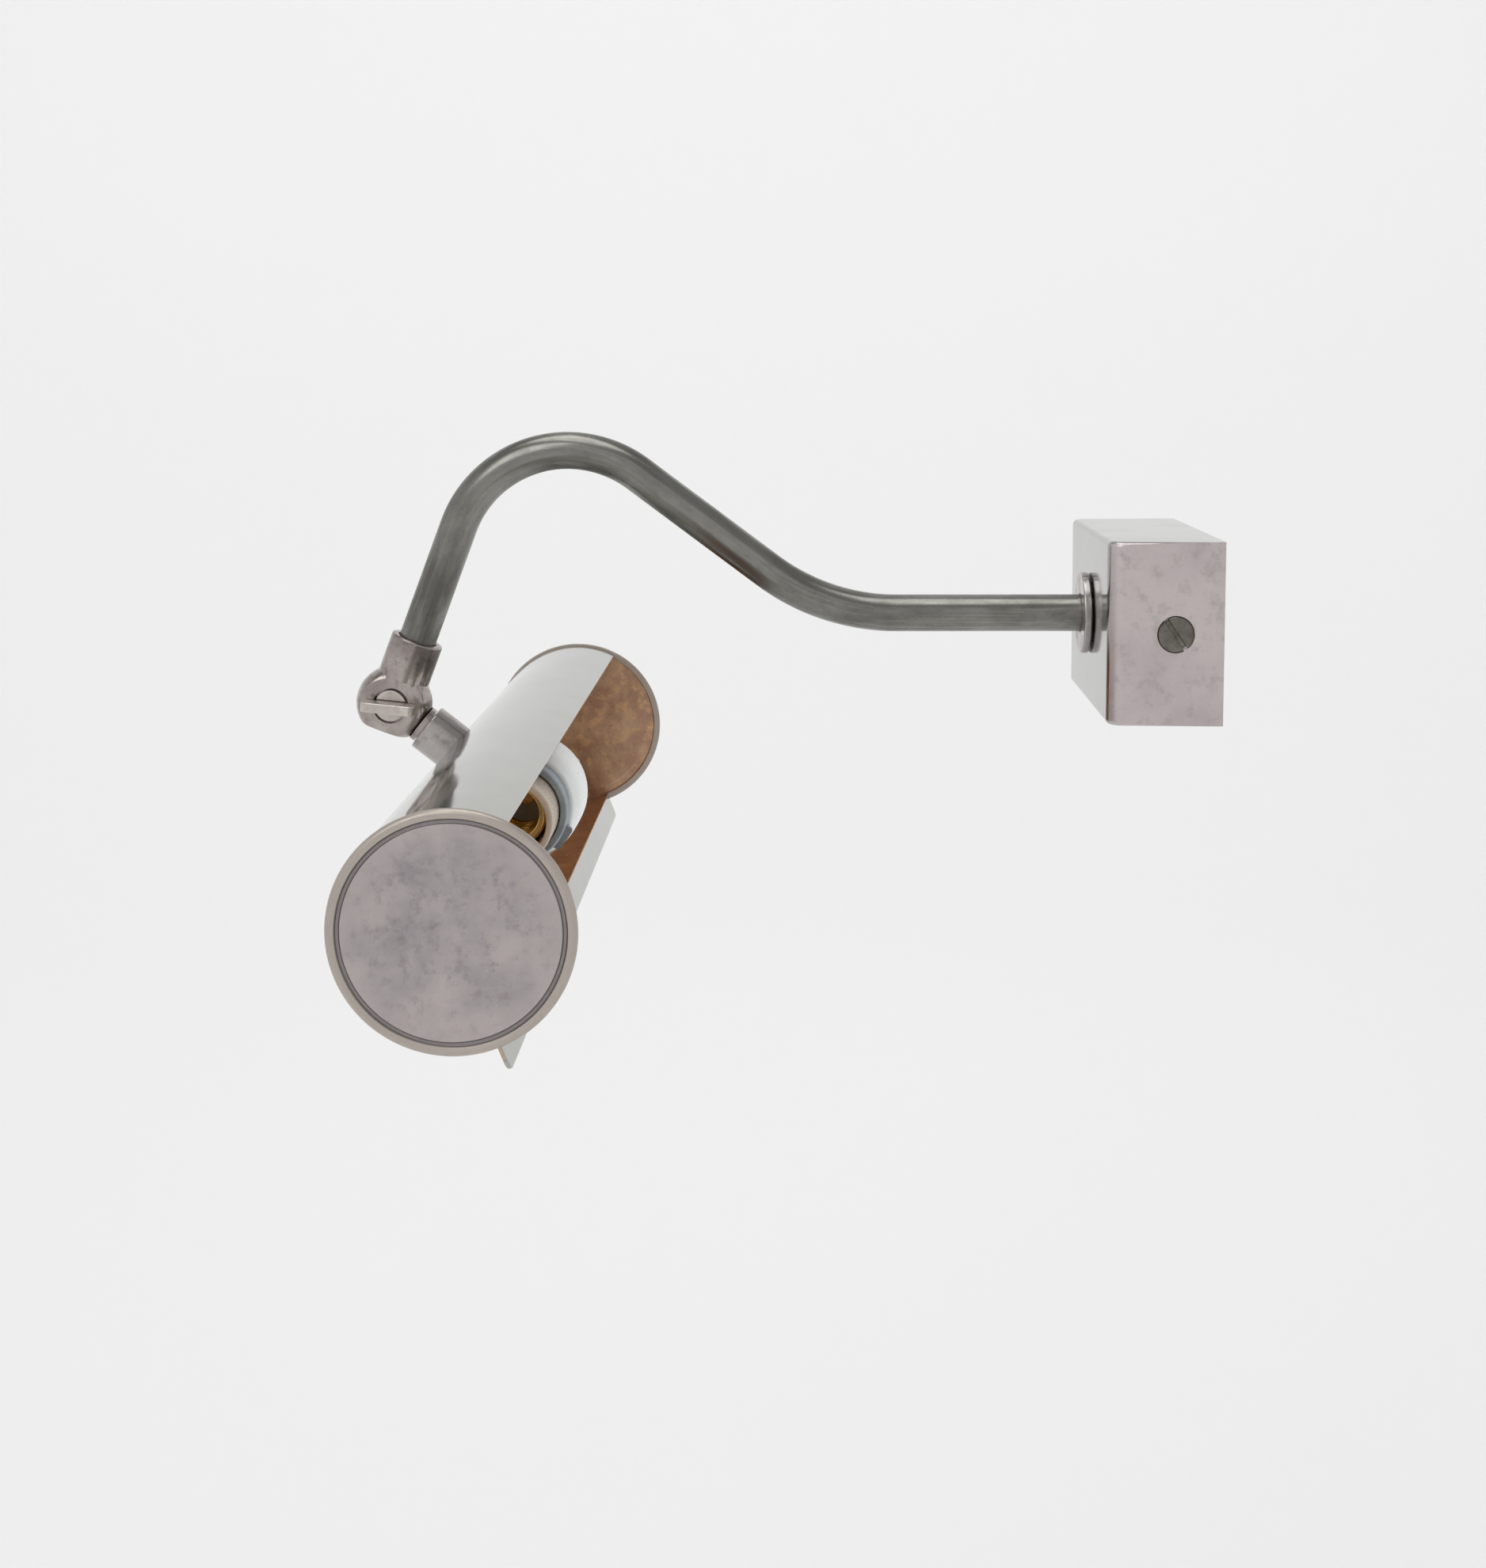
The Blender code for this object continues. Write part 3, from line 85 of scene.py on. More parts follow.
SHARP_ANGLE = math.radians(38)  # edges sharper than this stay creased
NEAR = 1e-6                     # two coordinates this close count as one

# Sizes that the frame's boxes don't give
ARM_RADIUS = 0.005
ARM_WALL = 0.001
ARM_LEVEL_RUN = 0.052
ARM_FIRST_RADIUS = 0.058
ARM_FIRST_TURN = math.radians(36.9)
ARM_RISING_RUN = 0.0434
ARM_TOP_RADIUS = 0.0315
ARM_TOP_TURN = math.radians(106.2)
ARM_FALLING_RUN = 0.0328
ARM_SEAT = 0.0055
SLEEVE_TOP = 0.0184             # from the pivot, along the arm's end
SLEEVE_WALL = 0.0017
BALL_RADIUS = 0.0102
BALL_FACE = 0.0063
BALL_FLAT = 0.0074
BALL_CREASE = 0.0073
BALL_DOME = 0.0012              # depth of the rounding between the ball and its face
BALL_DOME_LAND = 0.0004         # flat left round the screw's recess
BALL_DOME_STEPS = 8
LOWER_BALL_RADIUS = BALL_FLAT
SADDLE_GAP = 0.00003            # between the collar's saddle and the shade
COLLAR_WALL = 0.0022
COLLAR_REACH = 0.004            # how far the collar runs in before its saddle is cut
THUMB_HEAD = 0.0042
THUMB_RECESS = 0.0048
THUMB_RECESS_FLOOR = 0.0039
THUMB_SHANK = 0.002
THUMB_TOP = 0.0066
THUMB_END = 0.0058
PADDLE_HALF_THICKNESS = 0.0013
PADDLE_TILT = math.radians(-6)
SPIGOT_RADIUS = 0.004
SPIGOT_BORE = 0.0024
SPIGOT_INSIDE = 0.0068          # length of spigot inside the shade
NECK_RADIUS = 0.0051
SHADE_WALL = 0.001
SHADE_RADIUS = 0.0263
OPENING_TOP = math.radians(11)
OPENING_BOTTOM = math.radians(-119.5)
LIP_WIDTH = 0.0067
LIP_CORNER = 0.0025
CAP_BEAD = 0.0012               # half width of the cap's rolled bead
CAP_DEPTH = 0.0017
CAP_OUTER = SHADE_RADIUS + 0.0007
CAP_GROOVE_WIDTH = 0.0006
CAP_CHANNEL_WIDTH = 0.0022      # the shade's edge sits in this channel
CAP_CHANNEL_DEPTH = 0.0008
BOX_END_RADIUS = 0.004
BOX_FRONT_RADIUS = 0.0018
BOX_WALL = 0.0015
GAP = 0.0003
RING_LUG_ANGLE = math.radians(-86.5)

# Camera: a picture taken along -X, a little above the light
CAMERA_AT = Vector((0.5521, -0.1060, 0.0708))
CAMERA_YAW = math.radians(0.34)
CAMERA_PITCH = math.radians(5.43)
CAMERA_LENS = 47.18
CAMERA_SENSOR = 36.0
CAMERA_SHIFT = (-0.0475, -0.15)

# Stage
FLOOR_DROP = 0.45               # below the light
FLOOR_RADIUS = 1.6
WALL_RADIUS = 2.4
WALL_HEIGHT = 2.6
STAGE_GLOW = 0.24               # the paper shines a little, so it stays evenly pale
WORLD_GLOW = 0.40
KEY_POWER = 6                   # watts
TOP_POWER = 8
BACKDROP_POWER = 6

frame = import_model()
cad_low, cad_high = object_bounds()


# ---------------------------------------------------------------- places in the frame

def middle(node):
    low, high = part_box(node)
    return (low + high) / 2


def turned_about_x(origin, tilt):
    return Matrix.Translation(origin) @ Matrix.Rotation(tilt, 4, "X")


PIVOT = Vector(frame["joints"][0]["pos_m"])
SHADE_AXIS = Vector((0, *middle("end_cap_right").yz))
HOLDER_AXIS = Vector((0, *middle("holder_sleeve").yz))
ARM_AXIS = Vector((0, 0, middle("arm_collar").z))
BOX_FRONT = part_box("box_cover")[0].y
HEAD_TILT = math.atan2((SHADE_AXIS - PIVOT).y, (PIVOT - SHADE_AXIS).z)
ARM_END_TILT = ARM_FIRST_TURN - ARM_TOP_TURN + math.pi / 2
HEAD = turned_about_x(PIVOT, HEAD_TILT)
ARM_END = turned_about_x(PIVOT, -ARM_END_TILT)
SCREW = turned_about_x(PIVOT, PADDLE_TILT)
SHADE = turned_about_x(SHADE_AXIS, HEAD_TILT)
HOLDER = turned_about_x(HOLDER_AXIS, HEAD_TILT)
TO_X = Matrix.Rotation(math.pi / 2, 4, "Y")             # turns local +Z to +X
TO_MINUS_X = Matrix.Rotation(-math.pi / 2, 4, "Y")
OUT_OF_WALL = Matrix.Rotation(math.pi / 2, 4, "X")      # turns local +Z to -Y


# ---------------------------------------------------------------- shapes

def arc(centre, radius, start, end, step=math.radians(3)):
    """Points on an arc in a plane, ends included."""
    count = max(2, math.ceil(abs(end - start) / step))
    angles = [start + (end - start) * index / count for index in range(count + 1)]
    return [(centre[0] + radius * math.cos(angle), centre[1] + radius * math.sin(angle))
            for angle in angles]


def rounded(points, radius, steps=4):
    """A chain of flat points with its corners rounded."""
    result = [points[0]]
    for before, corner, after in zip(points, points[1:], points[2:]):
        corner = Vector(corner)
        back, on = Vector(before) - corner, Vector(after) - corner
        turn = back.angle(on)
        if math.pi - turn < math.radians(20):
            result.append(tuple(corner))
            continue
        reach = min(radius / math.tan(turn / 2), 0.45 * min(back.length, on.length))
        start, end = corner + back.normalized() * reach, corner + on.normalized() * reach
        for index in range(steps + 1):
            t = index / steps
            point = start * (1 - t) ** 2 + corner * 2 * t * (1 - t) + end * t ** 2
            result.append(tuple(point))
    return result + [points[-1]]


def lathe(profile, matrix, steps=MEDIUM, radius=EDGE):
    """Solid of revolution about the matrix's Z, from (radius, height) corners."""
    bm = bmesh.new()
    on_axis = profile[0][0] == 0 and profile[-1][0] == 0
    if on_axis:
        chain = rounded(profile, radius)
    else:
        start = tuple((Vector(profile[-1]) + Vector(profile[0])) / 2)
        chain = rounded([start, *profile, start], radius)[:-1]
    points = [bm.verts.new((x, 0, z)) for x, z in chain]
    loop = points if on_axis else points + points[:1]
    for one, two in zip(loop, loop[1:]):
        bm.edges.new((one, two))
    bmesh.ops.spin(bm, geom=list(bm.verts) + list(bm.edges), axis=(0, 0, 1), cent=(0, 0, 0),
                   angle=math.tau, steps=steps, use_merge=True)
    bmesh.ops.remove_doubles(bm, verts=bm.verts, dist=1e-7)
    bmesh.ops.recalc_face_normals(bm, faces=bm.faces)
    bm.transform(matrix)
    return bm


def cylinder(radius, low, high, matrix, steps=MEDIUM):
    return lathe([(0, low), (radius, low), (radius, high), (0, high)], matrix, steps, 0)


def block(low, high, matrix=Matrix.Identity(4)):
    bm = bmesh.new()
    bmesh.ops.create_cube(bm, size=1.0)
    bmesh.ops.scale(bm, vec=Vector(high) - Vector(low), verts=bm.verts)
    bmesh.ops.translate(bm, vec=(Vector(high) + Vector(low)) / 2, verts=bm.verts)
    bm.transform(matrix)
    return bm


def bevel(bm, chosen, width, segments):
    edges = [edge for edge in bm.edges if chosen(edge)]
    bmesh.ops.bevel(bm, geom=edges, offset=width, offset_type="OFFSET", segments=segments,
                    profile=0.5, affect="EDGES", clamp_overlap=True)


def is_corner(edge, angle=math.radians(35)):
    return len(edge.link_faces) == 2 and edge.calc_face_angle() > angle


def mesh_of(bm, name):
    mesh = bpy.data.meshes.new(name)
    bm.to_mesh(mesh)
    bm.free()
    return mesh


def carve(piece, bm, operation="DIFFERENCE", solver="EXACT"):
    """Cut a shape out of a piece, or join it on, and keep the result."""
    other = bpy.data.objects.new("tool", mesh_of(bm, "tool"))
    bpy.context.scene.collection.objects.link(other)
    modifier = piece.modifiers.new("shape", "BOOLEAN")
    modifier.operation, modifier.solver, modifier.object = operation, solver, other
    evaluated = piece.evaluated_get(bpy.context.evaluated_depsgraph_get())
    result = bpy.data.meshes.new_from_object(evaluated)
    piece.modifiers.clear()
    piece.data = result
    bpy.data.objects.remove(other)


def add_piece(name, bm):
    item = bpy.data.objects.new(name, mesh_of(bm, name))
    bpy.context.scene.collection.objects.link(item)
    return item


def finish_piece(item, node, materials, choose=None):
    """Shade a piece, give it its materials and let it stand for a CAD node."""
    mesh = item.data
    mesh.shade_smooth()
    mesh.set_sharp_from_angle(angle=SHARP_ANGLE)
    mesh.materials.clear()
    for material in materials:
        mesh.materials.append(material)
    for face in mesh.polygons:
        face.material_index = choose(face) if choose else 0
    normals = item.modifiers.new("even_faces", "WEIGHTED_NORMAL")
    normals.keep_sharp = True
    cad = frame["nodes"][node]
    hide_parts(node)
    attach(item, cad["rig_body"])


# ---------------------------------------------------------------- materials

class Surface:
    """A Principled material built up from procedural nodes, in the frame's metres."""

    def __init__(self, name, metallic=0.0, coat=0.0):
        self.material = bpy.data.materials.new(name)
        self.material.use_nodes = True
        self.nodes = self.material.node_tree.nodes
        self.links = self.material.node_tree.links
        self.shader = self.nodes["Principled BSDF"]
        self.shader.inputs["Metallic"].default_value = metallic
        self.shader.inputs["Coat Weight"].default_value = coat
        self.shader.inputs["Coat Roughness"].default_value = 0.08
        self.here = self.nodes.new("ShaderNodeTexCoord").outputs["Object"]

    def fill(self, socket, value):
        if isinstance(value, bpy.types.NodeSocket):
            self.links.new(value, socket)
        elif isinstance(value, tuple) and len(value) == 3 and socket.type == "RGBA":
            socket.default_value = (*value, 1.0)
        else:
            socket.default_value = value

    def node(self, kind, **inputs):
        made = self.nodes.new(kind)
        for name, value in inputs.items():
            self.fill(made.inputs[name.replace("_", " ")], value)
        return made

    def noise(self, size, detail=5.0, roughness=0.6, stretch=(1, 1, 1), where=None):
        """Noise whose features are about size metres across, drawn out along an axis."""
        moved = self.node("ShaderNodeMapping", Vector=where or self.here,
                          Scale=tuple(1 / factor for factor in stretch))
        return self.node("ShaderNodeTexNoise", Vector=moved.outputs[0], Scale=1 / size,
                         Detail=detail, Roughness=roughness).outputs[0]

    def remap(self, value, low, high, start=0.35, end=0.65):
        made = self.node("ShaderNodeMapRange", Value=value, From_Min=start, From_Max=end,
                         To_Min=low, To_Max=high)
        return made.outputs[0]

    def blend(self, factor, one, two, blend_type="MIX"):
        made = self.nodes.new("ShaderNodeMix")
        made.data_type = "RGBA"
        made.blend_type = blend_type
        self.fill(made.inputs[0], factor)
        self.fill(made.inputs[6], one)
        self.fill(made.inputs[7], two)
        return made.outputs[2]

    def sum(self, one, two, weight=1.0, operation="MULTIPLY_ADD"):
        """two + one * weight"""
        made = self.nodes.new("ShaderNodeMath")
        made.operation = operation
        for socket, value in zip(made.inputs, (one, weight, two)):
            self.fill(socket, value)
        return made.outputs[0]

    def distance_from(self, axis_point):
        """Distance from a line along X through a point."""
        offset = self.nodes.new("ShaderNodeVectorMath")
        offset.operation = "SUBTRACT"
        self.fill(offset.inputs[0], self.here)
        offset.inputs[1].default_value = axis_point
        flat = self.nodes.new("ShaderNodeVectorMath")
        flat.operation = "MULTIPLY"
        self.links.new(offset.outputs[0], flat.inputs[0])
        flat.inputs[1].default_value = (0, 1, 1)
        length = self.nodes.new("ShaderNodeVectorMath")
        length.operation = "LENGTH"
        self.links.new(flat.outputs[0], length.inputs[0])
        return length.outputs["Value"]

    def ramp(self, value, stops):
        """Grey mask that runs through (position, level) stops."""
        made = self.node("ShaderNodeValToRGB", Fac=value)
        elements = made.color_ramp.elements
        for index, (position, level) in enumerate(stops):
            element = elements[index] if index < 2 else elements.new(position)
            element.position = position
            element.color = (level, level, level, 1)
        return made.outputs[0]

    def colour(self, value):
        self.fill(self.shader.inputs["Base Color"], value)

    def rough(self, value):
        self.fill(self.shader.inputs["Roughness"], value)

    def bump(self, height, depth, strength=1.0):
        made = self.node("ShaderNodeBump", Height=height, Distance=depth, Strength=strength)
        self.links.new(made.outputs[0], self.shader.inputs["Normal"])


def patina(name, pale, middle_tone, dark, rough, rings=None, blotch=0.011, strength=0.75):
    """Aged satin metal: cloudy tarnish, darker blotches, fine specks and hair scratches."""
    surface = Surface(name, metallic=1.0)
    clouds = surface.noise(blotch * 2.2, 6.0, 0.62)
    blotches = surface.noise(blotch / 2.4, 8.0, 0.68)
    specks = surface.noise(0.0007, 3.0, 0.7)
    scratches = surface.noise(0.0006, 4.0, 0.6, (1, 14, 1))
    tone = surface.blend(surface.remap(clouds, 0, 1, 0.38, 0.62), middle_tone, pale)
    tone = surface.blend(surface.remap(blotches, 0, strength, 0.52, 0.76), tone, dark)
    tone = surface.blend(surface.remap(specks, 0, 0.30, 0.58, 0.75), tone, dark)
    tone = surface.blend(surface.remap(scratches, 0, 0.22, 0.60, 0.78), tone, pale)
    if rings:
        axis_point, groove, rim_tone = rings
        share = surface.remap(surface.distance_from(axis_point), 0, 1, 0, SHADE_RADIUS * 1.1)
        at = groove / (SHADE_RADIUS * 1.1)
        paler = surface.ramp(share, [(0, 0), (at * 0.7, 0), (at * 0.97, 0.6)])
        tone = surface.blend(paler, tone, pale)
        tone = surface.blend(surface.ramp(share, [(0, 0), (at, 0), (at + 0.02, 0.8)]), tone,
                             rim_tone)
        # darker band over the cap's groove: painted shade in the recess
        groove_shade = surface.ramp(share, [(0, 0), (at - 0.014, 0), (at, 0.75), (at + 0.022, 0.75),
                                    (at + 0.036, 0)])
        tone = surface.blend(groove_shade, tone, dark)
    surface.colour(tone)
    surface.rough(surface.sum(surface.remap(blotches, -0.06, 0.10), rough))
    surface.bump(surface.sum(surface.sum(specks, blotches, 0.5), clouds, 0.4), 0.00008, 0.35)
    return surface.material


def polish(name, tone, tarnish, rough, along=(60, 1, 1)):
    """Near-mirror plating with faint lines along the piece and cloudy smears."""
    surface = Surface(name, metallic=1.0)
    lines = surface.noise(0.0005, 4.0, 0.55, along)
    bands = surface.noise(0.0026, 3.0, 0.5, along)
    smears = surface.noise(0.016, 5.0, 0.6)
    colour = surface.blend(surface.remap(smears, 0, 0.35), tone, tarnish)
    colour = surface.blend(surface.remap(lines, 0, 0.16, 0.52, 0.75), colour, tarnish)
    surface.colour(colour)
    surface.rough(surface.sum(surface.remap(smears, 0.0, 0.05), rough))
    surface.bump(surface.sum(bands, lines, 1.5), 0.00001, 0.25)
    return surface.material


def drawn_tube(name, tone, dark, line_and_sheen_tone, rough):
    """Dark patinated tube with long polishing lines, drawn in a lighter olive tone that is partly a
    painted sheen; the lines follow the bends.
    """
    surface = Surface(name, metallic=1.0)
    run = surface.nodes.new("ShaderNodeAttribute")
    run.attribute_name = "run"
    along = run.outputs["Vector"]
    lines = surface.noise(0.0008, 5.0, 0.6, (1, 1, 45), along)
    patches = surface.noise(0.010, 5.0, 0.65, (1, 1, 2.5), along)
    specks = surface.noise(0.0009, 3.0, 0.7)
    colour = surface.blend(surface.remap(patches, 0, 1, 0.40, 0.65), tone, dark)
    # polishing lines in a lighter olive tone: real lines, partly a painted olive highlight
    colour = surface.blend(surface.remap(lines, 0, 0.45, 0.52, 0.72), colour, line_and_sheen_tone)
    colour = surface.blend(surface.remap(specks, 0, 0.35, 0.56, 0.75), colour, dark)
    surface.colour(colour)
    surface.rough(surface.sum(surface.remap(patches, -0.03, 0.08), rough))
    surface.bump(surface.sum(lines, specks, 0.8), 0.00004, 0.30)
    return surface.material


def aged_brass(name):
    """Unplated brass inside the shade: brown tarnish with warmer, brighter clouds."""
    surface = Surface(name, metallic=1.0)
    clouds = surface.noise(0.012, 6.0, 0.65)
    spots = surface.noise(0.0035, 7.0, 0.7)
    grain = surface.noise(0.0008, 3.0, 0.7)
    tone = surface.blend(surface.remap(clouds, 0, 1, 0.36, 0.64), (0.50, 0.31, 0.215),
                         (0.72, 0.50, 0.33))
    tone = surface.blend(surface.remap(spots, 0, 0.8, 0.50, 0.72), tone, (0.95, 0.64, 0.31))
    tone = surface.blend(surface.remap(grain, 0, 0.4, 0.55, 0.75), tone, (0.24, 0.14, 0.095))
    surface.colour(tone)
    surface.rough(surface.remap(spots, 0.34, 0.52))
    surface.bump(surface.sum(grain, spots, 0.6), 0.00008, 0.4)
    return surface.material


def bright_metal(name, tone, shadow, rough, size=0.004):
    """Clean turned or stamped metal with light handling marks."""
    surface = Surface(name, metallic=1.0)
    marks = surface.noise(size, 6.0, 0.65)
    fine = surface.noise(0.0005, 3.0, 0.6, (1, 6, 1))
    surface.colour(surface.blend(surface.remap(marks, 0, 0.6), tone, shadow))
    surface.rough(surface.sum(surface.remap(fine, -0.03, 0.08), rough))
    surface.bump(surface.sum(fine, marks, 0.5), 0.00003, 0.3)
    return surface.material


def zinc(name):
    """Zinc-plated steel: small flat crystals with slightly different tones."""
    surface = Surface(name, metallic=1.0)
    cells = surface.node("ShaderNodeTexVoronoi", Vector=surface.here, Scale=420.0)
    grey = surface.node("ShaderNodeRGBToBW", Color=cells.outputs["Color"]).outputs[0]
    fine = surface.noise(0.0006, 3.0, 0.6)
    surface.colour(surface.blend(grey, (0.36, 0.37, 0.39), (0.50, 0.51, 0.52)))
    surface.rough(surface.remap(grey, 0.34, 0.48, 0, 1))
    surface.bump(surface.sum(grey, fine, 0.5), 0.00003, 0.25)
    return surface.material


def glazed(name):
    """White glazed porcelain with a faint cool tint and tiny pits."""
    surface = Surface(name, coat=0.6)
    clouds = surface.noise(0.009, 3.0, 0.5)
    pits = surface.noise(0.0009, 3.0, 0.6)
    surface.colour(surface.blend(surface.remap(clouds, 0, 1), (0.80, 0.85, 0.84),
                                 (0.88, 0.90, 0.88)))
    surface.rough(surface.remap(pits, 0.16, 0.28))
    surface.bump(surface.sum(pits, clouds, 0.3), 0.00006, 0.25)
    return surface.material


def moulded(name, tone, rough, shade=0.8):
    """Moulded plastic with a fine skin and slightly uneven colour."""
    surface = Surface(name)
    clouds = surface.noise(0.006, 4.0, 0.6)
    skin = surface.noise(0.0004, 2.0, 0.5)
    darker = tuple(channel * shade for channel in tone)
    surface.colour(surface.blend(surface.remap(clouds, 0, 1), tone, darker))
    surface.rough(surface.sum(surface.remap(skin, -0.05, 0.08), rough))
    surface.bump(skin, 0.00004, 0.4)
    return surface.material


CAP_GROOVE = CAP_OUTER - 2 * CAP_BEAD - CAP_GROOVE_WIDTH
END_FACE = patina("box_end_patina", (0.60, 0.535, 0.535), (0.52, 0.455, 0.46), (0.28, 0.245, 0.245),
                  0.38, strength=0.6)
# its rings pale the disc towards the groove, tint the bead and paint shade into the groove
CAP_METAL = patina("cap_patina", (0.50, 0.45, 0.44), (0.37, 0.335, 0.345), (0.20, 0.18, 0.192),
                   0.40, (tuple(SHADE_AXIS), CAP_GROOVE, (0.48, 0.43, 0.375)), 0.007, 0.6)
KNUCKLE_METAL = patina("aged_nickel_cast", (0.46, 0.41, 0.385), (0.30, 0.262, 0.248),
                       (0.075, 0.064, 0.057), 0.18, blotch=0.006)
# a paler copy of the knuckle's aged nickel for the screw head and paddle
THUMB_METAL = patina("aged_nickel_paler", (0.66, 0.61, 0.56), (0.54, 0.49, 0.46),
                     (0.24, 0.21, 0.19), 0.34, blotch=0.004, strength=0.6)
SCREW_METAL = patina("aged_nickel_screw", (0.20, 0.19, 0.16), (0.12, 0.115, 0.095),
                     (0.04, 0.038, 0.03), 0.32, blotch=0.004)
SHADE_METAL = polish("polished_nickel_shade", (0.43, 0.43, 0.405), (0.35, 0.34, 0.315), 0.06)
BOX_METAL = polish("polished_nickel_box", (0.375, 0.373, 0.36), (0.32, 0.315, 0.30), 0.08)
# the last tone is the lines' lighter olive, partly a painted sheen
ARM_METAL = drawn_tube("dark_nickel_tube", (0.255, 0.252, 0.232), (0.14, 0.135, 0.122),
                       (0.40, 0.39, 0.345), 0.24)
COLLAR_METAL = patina("dark_nickel_turned", (0.47, 0.44, 0.42), (0.34, 0.315, 0.305),
                      (0.12, 0.105, 0.10), 0.20, blotch=0.012)
INSIDE_BRASS = aged_brass("aged_brass_inside")
GOLD = bright_metal("bright_brass", (1.0, 0.78, 0.40), (0.85, 0.60, 0.24), 0.10)
PLAIN_BRASS = bright_metal("plain_brass_turned", (0.72, 0.53, 0.24), (0.50, 0.34, 0.13), 0.24)
RING_METAL = bright_metal("grey_cast_metal", (0.36, 0.40, 0.43), (0.24, 0.27, 0.30), 0.40)
ZINC = zinc("zinc_plated_steel")
PORCELAIN = glazed("white_porcelain")
CREAM = moulded("cream_sleeve", (0.72, 0.62, 0.50), 0.26, 0.85)
BLACK = moulded("black_rubbery_plastic", (0.020, 0.020, 0.021), 0.46)
WHITE = moulded("white_block_plastic", (0.78, 0.77, 0.73), 0.40, 0.92)
BROWN = moulded("brown_core_plastic", (0.19, 0.075, 0.030), 0.40)
BLUE = moulded("blue_core_plastic", (0.03, 0.11, 0.42), 0.40)
GREEN = moulded("green_core_plastic", (0.25, 0.45, 0.05), 0.40)
BY_SLOT = {
    "aged_nickel": KNUCKLE_METAL, "polished_nickel": SHADE_METAL, "dark_nickel": COLLAR_METAL,
    "plain_brass": PLAIN_BRASS, "zinc_steel": ZINC, "grey_metal": RING_METAL,
    "porcelain": PORCELAIN, "cream": CREAM, "black_plastic": BLACK, "white_plastic": WHITE,
    "brown_core": BROWN, "blue_core": BLUE, "green_core": GREEN,
}


# ---------------------------------------------------------------- wall box

def rounded_cover(half_length, half_height, front, rear, end_radius, front_radius):
    """Closed block with rounded upright front corners and rounded long front edges."""
    bm = block((-half_length, front, -half_height), (half_length, rear, half_height))
    near = front + NEAR
    bevel(bm, lambda edge: all(v.co.y < near for v in edge.verts)
          and abs(edge.verts[0].co.z - edge.verts[1].co.z) > half_height, end_radius, 14)
    reach = front + end_radius + NEAR
    bevel(bm, lambda edge: all(v.co.y < reach for v in edge.verts)
          and abs(edge.verts[0].co.z - edge.verts[1].co.z) < NEAR, front_radius, 8)
    return bm


def build_cover():
    low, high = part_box("box_cover")
    outer = rounded_cover(high.x, high.z, low.y, high.y, BOX_END_RADIUS, BOX_FRONT_RADIUS)
    cover = add_piece("wall_box_cover", outer)
    inner = rounded_cover(high.x - BOX_WALL, high.z - BOX_WALL, low.y + BOX_WALL,
                          high.y + BOX_WALL, BOX_END_RADIUS - BOX_WALL,
                          BOX_FRONT_RADIUS - BOX_WALL)
    carve(cover, inner)
    carve(cover, cylinder(ARM_RADIUS + GAP, -low.y - 2 * BOX_WALL, -low.y + BOX_WALL,
                          Matrix.Translation(ARM_AXIS) @ OUT_OF_WALL))
    for node, turn in (("cover_screw_right", TO_X), ("cover_screw_left", TO_MINUS_X)):
        side_low, side_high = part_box(node)
        head = (side_high.z - side_low.z) / 2 + GAP
        spot = middle(node)
        spot.x = math.copysign(high.x, spot.x)
        sink = [(0, -2 * BOX_WALL), (head - 2 * BOX_WALL, -2 * BOX_WALL),
                (head + BOX_WALL, BOX_WALL), (0, BOX_WALL)]
        carve(cover, lathe(sink, Matrix.Translation(spot) @ turn, MEDIUM, 0))

    def finish(face):
        """Satin ends that reach round the front corners, polish everywhere else."""
        return 0 if abs(face.normal.x) > 0.5 else 1

    finish_piece(cover, "box_cover", [END_FACE, BOX_METAL], choose=finish)


# ---------------------------------------------------------------- arm

def heading_vector(heading):
    return Vector((0, -math.cos(heading), math.sin(heading)))


def arm_line():
    """Points and headings of the arm's centre line, from inside the box to the sleeve."""
    start = Vector((0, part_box("arm_tube")[1].y, ARM_AXIS.z))
    stations = [(start, 0.0), (Vector((0, BOX_FRONT - ARM_LEVEL_RUN, ARM_AXIS.z)), 0.0)]
    heading = 0.0
    for radius, turn, run in ((ARM_FIRST_RADIUS, ARM_FIRST_TURN, ARM_RISING_RUN),
                              (ARM_TOP_RADIUS, -ARM_TOP_TURN, ARM_FALLING_RUN + ARM_SEAT)):
        side = math.copysign(1, turn)
        point = stations[-1][0]
        centre = point + Vector((0, math.sin(heading), math.cos(heading))) * side * radius
        count = math.ceil(abs(turn) / math.radians(2))
        for index in range(1, count + 1):
            angle = heading + turn * index / count
            across = Vector((0, math.sin(angle), math.cos(angle))) * side
            stations.append((centre - across * radius, angle))
        heading += turn
        stations.append((stations[-1][0] + heading_vector(heading) * run, heading))
    return stations


def build_arm():
    """Tube swept along the arm's line, with its place along and round the tube stored."""
    bm = bmesh.new()
    stored = bm.verts.layers.float_vector.new("run")
    sides = 64
    rows, travelled, last = [], 0.0, None
    stations = arm_line()
    for point, heading in stations:
        travelled += (point - last).length if last else 0.0
        last = point
        across = Vector((0, math.sin(heading), math.cos(heading)))
        for radius in (ARM_RADIUS, ARM_RADIUS - ARM_WALL):
            row = []
            for index in range(sides):
                angle = math.tau * index / sides
                x, up = radius * math.cos(angle), radius * math.sin(angle)
                vert = bm.verts.new(point + Vector((x, 0, 0)) + across * up)
                vert[stored] = (x, up, travelled)
                row.append(vert)
            rows.append(row)
    strips = [(rows[i], rows[i + 2]) for i in range(len(rows) - 2)]
    strips += [(rows[0], rows[1]), (rows[-2], rows[-1])]
    for one, two in strips:
        for index in range(sides):
            after = (index + 1) % sides
            bm.faces.new((one[index], one[after], two[after], two[index]))
    bmesh.ops.recalc_face_normals(bm, faces=bm.faces)
    finish_piece(add_piece("swan_neck_tube", bm), "arm_tube", [ARM_METAL])


